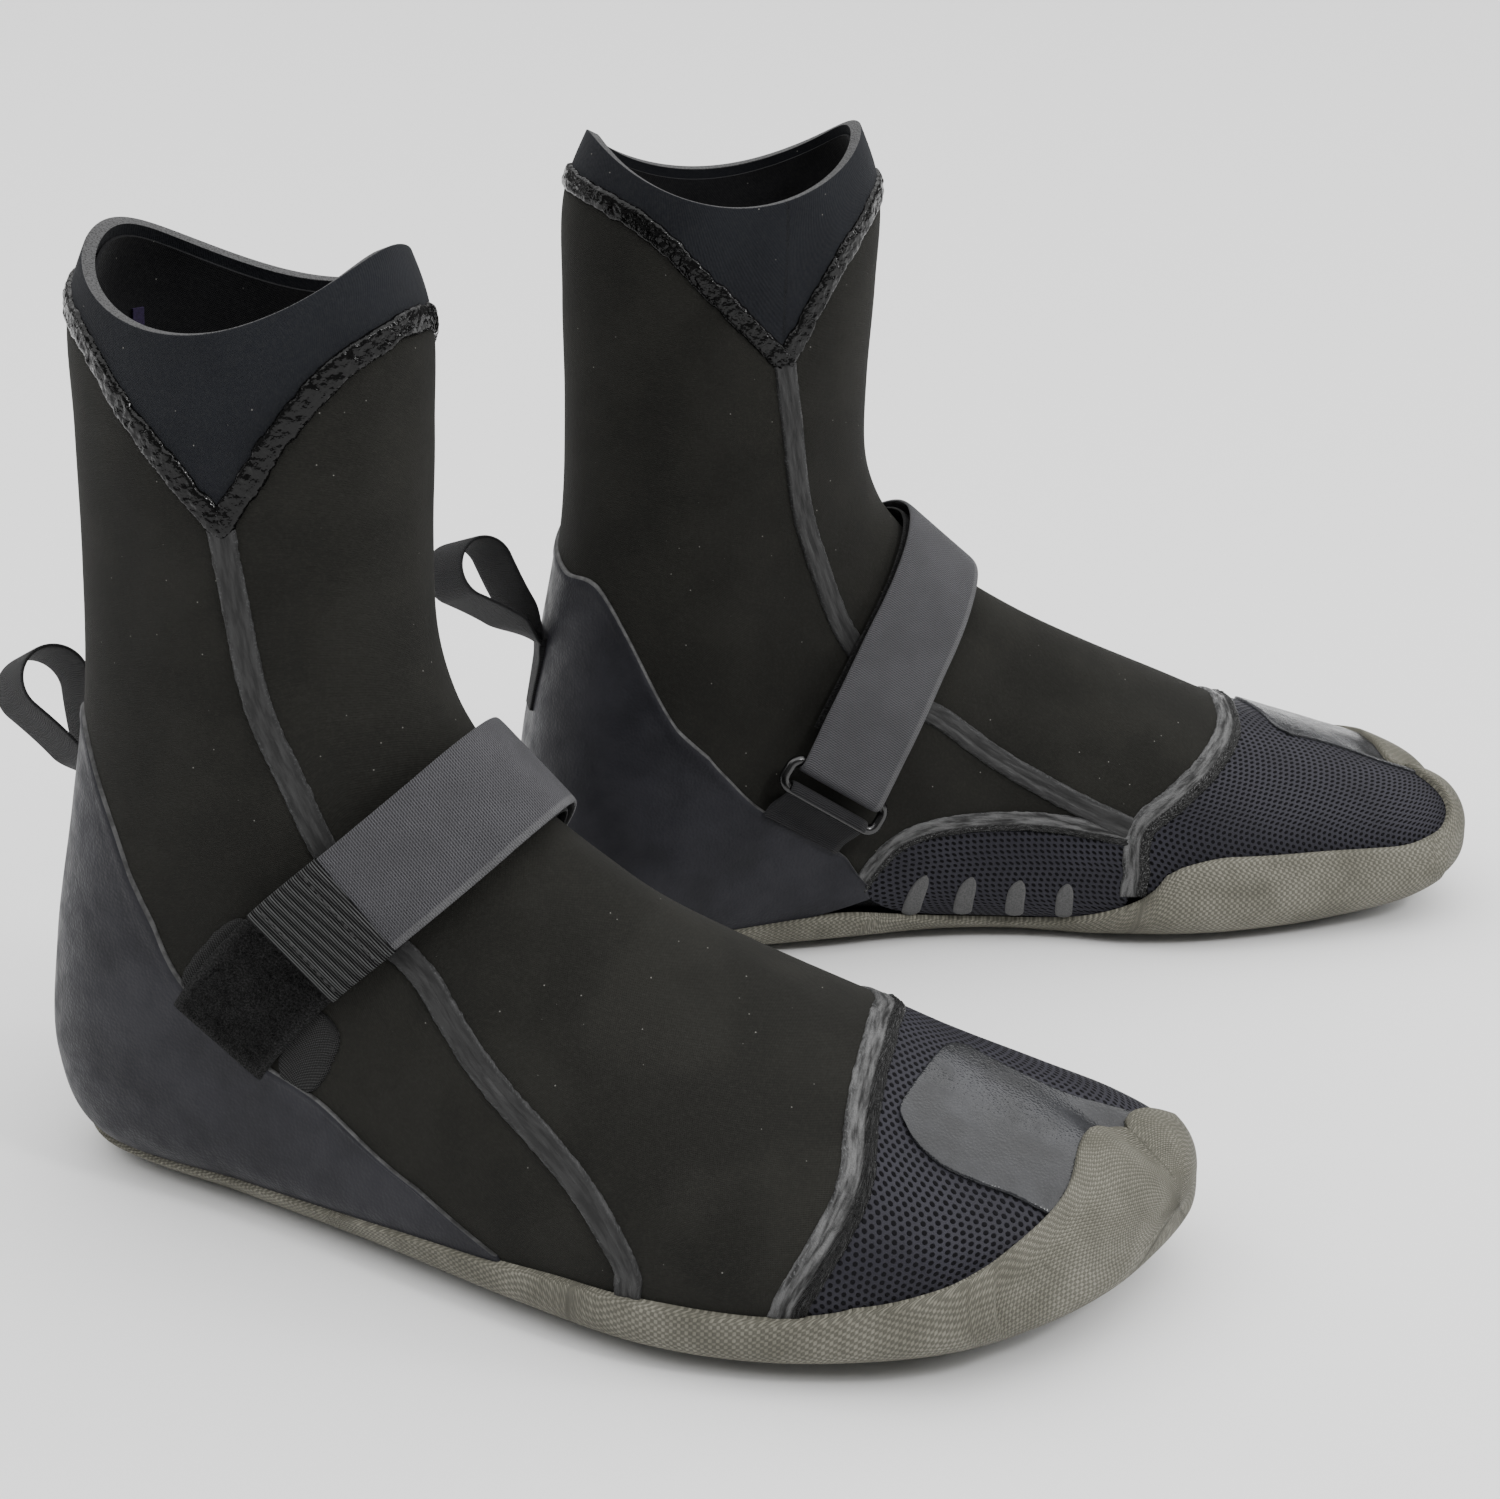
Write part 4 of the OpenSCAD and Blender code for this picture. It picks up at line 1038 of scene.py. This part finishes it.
def inside(boot):
    """Fleece lining, insole and the tape over the lining's back seam."""
    def sock(u, v):
        a = 360 * v
        rim = 0.36 + 0.72 * np.sin(np.radians(a)) ** 2
        return mix(rim, LAST_TIP - 0.05, u ** 0.92), a

    def bed(u, v):
        half = 34 + 12 * np.sin(np.pi * u)
        return mix(8.9, 16, u), mix(180 - half, 180 + half, v)

    fix(boot, patch(boot, "fleece", sock, 110, 120, -5.0, -3.8, ["lining"], (0.01, 0, 0.4),
                    wrap=True), "boot", "fleece_lining", "lining")
    fix(boot, patch(boot, "footbed", bed, 60, 30, -9, -6.2, ["insole"]),
        "boot", "insole_foam", "insole")
    t, w = spread(60, 9, 0)
    s, a = pair(line([[1.2, 200], [2, 199], [3, 198], [4.4, 196]], t))
    fix(boot, on_skin(boot, "lining_tape", s, a + w * 3, -5.2 + 0 * s, -6.0, "purple"),
        "boot", "liner_tape", "liner_tape")


def divider(boot):
    """Web between the big toe and the others, rounded at its top edge."""
    front, long, height, half, foot = 258, 24, 14, 0.8, 18.2
    x, w = spread(30, 15, 0)
    top = height * np.sin(np.pi * np.clip(0.2 + 0.7 * (1 - x), 0, 1)) ** 0.4
    px, pz = front - long * (1 - x), foot + top * (w + 1) / 2
    bow = half * rounded(w, 6)
    outer, inner = (np.stack([px, CLEFT_Y + side, pz], -1) for side in (bow, -bow))
    fix(boot, solid(boot, "toe_web", outer, inner, [MAT["lining"]]), "boot", "fleece_lining",
        "toe_divider")


def marks(boot):
    """Four raised printed dashes with round ends on the arch."""
    t, w = spread(30, 14)
    width = 1.8 * rounded(t, 6, 0.02)
    lift = 0.1 + 0.35 * rounded(w, 6)
    for number in range(4):
        s = 9.85 + 0.35 * number - 0.06 * t + w * width / 28
        piece = on_skin(boot, f"arch_dash_{number + 1}", s, -108 + t * 16, lift, SUNK, "ink")
        fix(boot, piece, "boot", "printed_ink", "arch_marks")


def ring_frame():
    """Centre of the ring's upper bar, the way outwards, along the bar and towards the keeper."""
    s, a = np.array(RING_SEAT[0]), np.array(RING_SEAT[1])
    n = outward(s, a)
    ahead = unit(skin(np.array(8.35), np.array(-78.0)) - skin(np.array(8.2), np.array(-69.0)))
    along_bar = unit(np.cross(n, ahead))
    down = -np.cross(n, along_bar)
    return skin(s, a) + n * RING_LIFT, n, along_bar, down


def ring(boot):
    """Rounded ring: a bent wire that is closed both ways."""
    centre, n, bar, down = ring_frame()
    points = []
    for number, (sx, sy) in enumerate(((1, 0), (-1, 0), (-1, 1), (1, 1))):
        middle = np.array([sx * (RING_LONG / 2 - RING_CORNER),
                           sy * RING_SHORT + (1 - 2 * sy) * RING_CORNER])
        angle = np.radians(90 * number + 90 * np.arange(9) / 8)
        points.append(middle + RING_CORNER * np.stack([np.cos(angle), -np.sin(angle)], -1))
    path = np.concatenate(points)
    count, sides = len(path), 20
    direction = unit(np.roll(path, -1, 0) - np.roll(path, 1, 0))
    normal = np.stack([direction[:, 1], -direction[:, 0]], -1)
    around = np.linspace(0, 2 * math.pi, sides, endpoint=False)
    flat = path[:, None, :] + WIRE * np.cos(around)[None, :, None] * normal[:, None, :]
    lift = np.broadcast_to(WIRE * np.sin(around), (count, sides))
    points = centre + flat[..., 0:1] * bar + flat[..., 1:2] * down + lift[..., None] * n
    i, j = np.meshgrid(np.arange(count), np.arange(sides), indexing="ij")
    uv = np.stack([i * 2.0, j * 1.0], -1).reshape(-1, 2)
    faces = tube_faces(count, sides) % (count * sides)
    piece = new_mesh(boot, "ring", points.reshape(-1, 3), faces, uv, [MAT["ring"]])
    fix(boot, piece, "ring", "ring_plastic", "strap_ring")


def strap(boot):
    """Outer strap: from its free end over the crest to the ring, and half way round the bar."""
    bend_radius = WIRE + 0.15
    t = np.linspace(GRIP_TO - 0.01, 0.935, 210)
    c, up, side = strap_frame(t)
    centre, n, bar, down = ring_frame()
    angle = np.radians(np.linspace(100, -60, 22))[:, None]
    arc_up = np.sin(angle) * n + np.cos(angle) * down
    arc_side = np.sign(np.sum(bar * side[-1])) * bar + 0 * arc_up
    lift = mix(RUN_IN, RING_LIFT + bend_radius, smooth((t - 0.8) / 0.135))
    c = np.concatenate([c + up * lift[:, None], centre + bend_radius * arc_up])
    up, side = np.concatenate([up, arc_up]), np.concatenate([side, arc_side])
    piece = webbing(boot, "strap_outer", c, up, square(side, up), STRAP_WIDTH / 2, 0,
                    STRAP_THICK - 0.2, "webbing")
    middle, up, _ = strap_frame(np.array([CREST + CREST_HALF, CREST - CREST_HALF]))
    bend(boot, piece, ("strap_run", "strap_end"), "strap", "strap_tip",
         middle + up * RUN_IN)


def inner_strap(boot):
    """Loop-pile strap from the anchor to the ring."""
    t = np.linspace(0.022, 0.955, 220)
    c, up, side = strap_frame(t)
    lift = mix(base_lift(t), RING_LIFT - WIRE - 0.3 - STRAP_THICK, smooth((t - 0.85) / 0.1))
    piece = webbing(boot, "strap_inner", c + up * lift[:, None], up, side, STRAP_WIDTH / 2, 0,
                    STRAP_THICK - 0.4, "pile", 0.4)
    bend(boot, piece, ("strap_base",), "boot", "ring",
         strap_frame(np.array([0.8, 0.955]))[0])


def base_lift(t):
    """Height of the inner strap's lower face, which sinks to the skin at the anchor."""
    return mix(0.7, BASE_IN, smooth(t / 0.12))


def pile_loops(boot):
    """Curly loops that stand on the inner strap, as one mesh of thin ribbons."""
    draw = np.random.default_rng(12)
    count = 5200
    t = draw.uniform(0.028, 0.84, count)
    w = draw.uniform(-0.86, 0.86, count) * STRAP_WIDTH / 2
    c, up, side = strap_frame(t)
    root = c + side * w[:, None] + up * (base_lift(t) + STRAP_THICK - 0.55)[:, None]
    turn = draw.uniform(0, 2 * math.pi, count)
    heading = np.cross(up, side)
    ahead = np.cos(turn)[:, None] * side + np.sin(turn)[:, None] * heading
    sideways = np.cross(up, ahead)
    covered = smooth((t - (GRIP_FROM - 0.02)) / 0.02)
    tall = mix(draw.uniform(0.7, 1.5, count), 0.32, covered)
    wide = draw.uniform(0.35, 0.8, count)
    lean = draw.uniform(-0.5, 0.5, count)
    steps = 7
    arc = np.linspace(0, math.pi, steps)
    points = (root[:, None, :]
              + ahead[:, None, :] * (wide[:, None] * np.cos(arc))[..., None]
              + up[:, None, :] * (tall[:, None] * np.sin(arc))[..., None]
              + sideways[:, None, :] * (lean[:, None] * np.sin(arc))[..., None])
    thin = 0.09
    offset = sideways[:, None, :] * thin
    edges = np.stack([points - offset, points + offset], 2)
    start = (np.arange(count) * steps * 2)[:, None]
    k = np.arange(steps - 1)[None, :] * 2
    faces = np.stack([start + k, start + k + 1, start + k + 3, start + k + 2], -1).reshape(-1, 4)
    flat = edges.reshape(-1, 3)
    uv = np.stack([flat[:, 0], flat[:, 2]], -1)
    piece = new_mesh(boot, "pile_loops", flat, faces, uv, [MAT["pile"]])
    fix(boot, piece, "boot", "loop_pile")


def anchor(boot):
    """Two stitched lobes that hold the strap's outer end."""
    t, w = spread(60, 24)
    for number, (side, shift, first, last) in enumerate(((-1, 1, 0.02, 0.82), (1, 3, 0.2, 0.98))):
        route = [[p[0] + side * 0.78, p[1] + shift] for p in ANCHOR_LINE]
        place = mix(first, last, (t + 1) / 2)
        s, a = pair(line(route, place))
        ahead = unit(skin(*pair(line(route, place + 0.01))) - skin(s, a))
        across = unit(np.cross(outward(s, a), ahead))
        rough = 0.35 * layered(t * 9, np.sign(w) * 4, 71 + number)
        reach = w * (7.2 * rounded(t, 3.2, 0.01) + rough * np.abs(w))
        s, a = on_surface(s, a, across * reach[..., None])
        border = np.maximum(np.abs(w), np.abs(t))
        hem = 0.35 * np.exp(-((border - 0.86) / 0.06) ** 2) * np.abs(layered(t * 16, w * 8, 81))
        lift = 0.1 + (0.7 + hem) * rounded(border, 12)
        piece = on_skin(boot, f"anchor_lobe_{number + 1}", s, a, lift, SUNK, "patch")
        fix(boot, piece, "boot", "anchor_fabric", "strap_anchor_patch")


def keeper(boot):
    """Webbing folded round the ring's lower bar and sewn down at the heel counter."""
    centre, n, bar, down = ring_frame()
    angle = np.radians(np.linspace(-80, 165, 26)[:20])[:, None]
    arc_up = np.sin(angle) * n - np.cos(angle) * down
    arc = centre + down * RING_SHORT + (WIRE + 0.1) * arc_up
    t = np.linspace(0.3, 1.25, 30)
    s, a = pair(line(KEEPER_LINE, t))
    lift = mix(RING_LIFT + 0.4, 1.2, smooth((t - 0.25) / 0.8))
    c = np.concatenate([arc, off_skin(s, a, lift)])
    ups = np.concatenate([arc_up, outward(s, a)])
    piece = webbing(boot, "keeper", c, ups, square(bar + 0 * c, ups), STRAP_WIDTH / 2 - 0.6, 0,
                    1.0, "keeper", 0.35)
    fix(boot, piece, "boot", "strap_webbing", "keeper_tab")


def grip(boot):
    """Ribbed tab at the strap's end: the ribs are real ridges, with two sewn rows."""
    c, up, side = strap_frame(np.linspace(GRIP_FROM, GRIP_TO + 0.004, 330))
    length = run_length(c)
    ribs = 0.16 * np.sin(length / RIB_PITCH * 2 * math.pi - math.pi / 2)
    ends = 0.5 * (1 - rounded(near_ends(length, 0.8), 2))
    piece = webbing(boot, "grip", c + up * (RUN_IN - 0.1), up, side, STRAP_WIDTH / 2 + 0.35, 0,
                    STRAP_THICK + 0.75 + ribs - ends, "grip", 0.6)
    fix(boot, piece, "strap_tip", "grip_tab", "grip_tab")


def stitches(boot):
    """Two rows of short raised stitches across the grip tab."""
    steps, sides, half_long, half_thick = 7, 8, 0.95, 0.35
    lift = RUN_IN + STRAP_THICK + 0.72
    p, q = np.meshgrid(np.linspace(-1, 1, steps), 2 * math.pi / sides * np.arange(sides),
                       indexing="ij")
    p, q = p[..., None], q[..., None]
    r = half_thick * rounded(p, 4, 0.01)
    points, faces = [], []
    for t in (mix(GRIP_FROM, GRIP_TO, 0.16), mix(GRIP_FROM, GRIP_TO, 0.83)):
        c, up, side = (x[0] for x in strap_frame(np.array([t])))
        ahead = np.cross(up, side)
        for w in np.linspace(-12.2, 12.2, 11):
            faces.append(tube_faces(steps - 1, sides, len(faces) * steps * sides))
            points.append(c + side * (w + p * half_long) + ahead * r * np.cos(q)
                          + up * (lift + 0.75 * r * np.sin(q) - 0.12 * p * p))
    points = np.concatenate(points).reshape(-1, 3)
    piece = new_mesh(boot, "grip_stitches", points, np.concatenate(faces), points[:, :2],
                     [MAT["thread"]])
    fix(boot, piece, "strap_tip", "strap_webbing")


def hooks(boot):
    c, up, side = strap_frame(np.linspace(GRIP_FROM + 0.01, HOOK_TO, 60))
    piece = webbing(boot, "hooks", c + up * (HOOK_IN + 0.35), up, side, STRAP_WIDTH / 2 - 2, 0,
                    RUN_IN - HOOK_IN - 0.3, "hook", 0.1)
    fix(boot, piece, "strap_tip", "hook_tape", "hook_patch")


def pull_loop(boot):
    """Flat webbing bent into a drop, its two ends twisted together at the root."""
    root = off_skin(np.array(LOOP_ROOT[0]), np.array(float(LOOP_ROOT[1])), np.array(2.8))
    tangent = math.acos(LOOP_ROUND / LOOP_REACH)
    turn = np.linspace(math.pi - tangent, tangent - math.pi, 120)
    arc = np.stack([LOOP_REACH + LOOP_ROUND * np.cos(turn), LOOP_ROUND * np.sin(turn)], -1)
    leg = np.linspace(0, 1, 40)[:, None]
    bow = np.concatenate([0 * leg, LOOP_BOW * np.sin(np.pi * leg)], -1)
    up_leg = mix(np.array([0.0, 0.7]), arc[0], leg) - bow
    down_leg = mix(arc[-1], np.array([0.0, -0.7]), leg) + bow
    path = np.concatenate([up_leg[:-1], arc, down_leg[1:]])
    direction = unit(np.gradient(path, axis=0))
    reach = path[:, :1]
    lean = math.radians(LEAN[boot.side])
    roll = math.radians(ROLL[boot.side]) * smooth((reach + 8) / 20) * -boot.flip
    out = np.array([-math.cos(lean), 0, math.sin(lean)])
    level = np.array([math.sin(lean), 0, math.cos(lean)])
    lateral = np.array([0.0, 1.0, 0.0])
    rise = np.cos(roll) * level - np.sin(roll) * lateral
    across = np.cos(roll) * lateral + np.sin(roll) * level
    narrow = mix(0.72, 1.0, smooth(reach[:, 0] / 12))
    piece = webbing(boot, "heel_loop", root + reach * out + path[:, 1:] * rise,
                    direction[:, :1] * rise - direction[:, 1:] * out, across,
                    LOOP_WIDTH / 2 * narrow, -LOOP_THICK / 2, LOOP_THICK / 2, "ribbon",
                    edge=0.3, across=22, power=12, under=1)
    bend(boot, piece, ("pull_loop",), "boot", "pull_loop",
         np.array([root - 2 * out, root + 9 * out]))


def loop_tail(boot):
    """The loop's ends, sewn down on the heel and tucked under a stitch."""
    t = np.linspace(0, 1, 60)
    s, a = mix(4.98, 5.62, t), 180 + 0 * t
    c = skin(s, a)
    high = 1.85 + 0.9 * np.exp(-((t - 0.12) / 0.16) ** 2)
    narrow = mix(0.64, 0.42, smooth(t))
    piece = webbing(boot, "loop_root", c, outward(s, a), np.array([0.0, 1.0, 0.0]) + 0 * c,
                    LOOP_WIDTH / 2 * narrow, 0.6, high, "ribbon", edge=0.4, across=20, power=10,
                    under=0)
    fix(boot, piece, "boot", "loop_webbing", "loop_tail")


def build(side):
    boot = Boot(side)
    for make in (upper, collar, collar_bead, seams, heel_rubber, overlay, sole, inside, divider,
                 marks, ring, strap, inner_strap, pile_loops, anchor, keeper, grip, stitches,
                 hooks, pull_loop, loop_tail):
        make(boot)


# ---- camera, light and floor ----
def camera():
    elevation, distance = math.radians(22.3), 0.703
    target = Vector((-0.0157, -0.0458, 0.110))
    lens = bpy.data.cameras.new("camera")
    lens.sensor_width, lens.lens = 36, 64.85
    lens.clip_start, lens.clip_end = 0.05, 60
    made = linked("camera", lens)
    back = Vector((0, -math.cos(elevation), math.sin(elevation)))
    made.location = target + back * distance
    made.rotation_euler = (-back).to_track_quat("-Z", "Y").to_euler()
    bpy.context.scene.camera = made


def area_light(name, place, target, size, power):
    lamp = bpy.data.lights.new(name, "AREA")
    lamp.shape = "RECTANGLE"
    lamp.size, lamp.size_y = size
    lamp.energy = power
    made = linked(name, lamp)
    made.location = place
    made.rotation_euler = (Vector(target) - Vector(place)).to_track_quat("-Z", "Y").to_euler()


def studio():
    world = bpy.data.worlds.new("studio")
    bpy.context.scene.world = world
    world.use_nodes = True
    background = world.node_tree.nodes["Background"]
    background.inputs[0].default_value = (1, 1, 1, 1)
    background.inputs[1].default_value = 0.26
    middle = (0, 0, 0.1)
    area_light("top_light", (0.2, 0.9, 3.8), (0.2, 0.9, 0), (11.0, 9.0), 760)
    area_light("key_light", (0.95, -0.85, 1.3), middle, (0.22, 0.18), 8)
    area_light("right_light", (1.4, -0.25, 0.75), middle, (0.2, 0.45), 4.5)
    area_light("left_light", (-1.5, 0.3, 0.5), middle, (0.2, 0.9), 2)
    half = 12.0
    mesh = bpy.data.meshes.new("floor")
    corners = [(-half, -half, 0), (half, -half, 0), (half, half, 0), (-half, half, 0)]
    mesh.from_pydata(corners, [], [(0, 1, 2, 3)])
    shade = Shade("floor", 0.9, 0.1)
    grain = shade.noise(shade.place(), 8, 2)
    colour = shade.blend(grain, (0.86, 0.86, 0.86, 1), (0.87, 0.87, 0.87, 1))
    mesh.materials.append(shade.finish(colour))
    linked("floor", mesh)


build("right")
build("left")
camera()
studio()
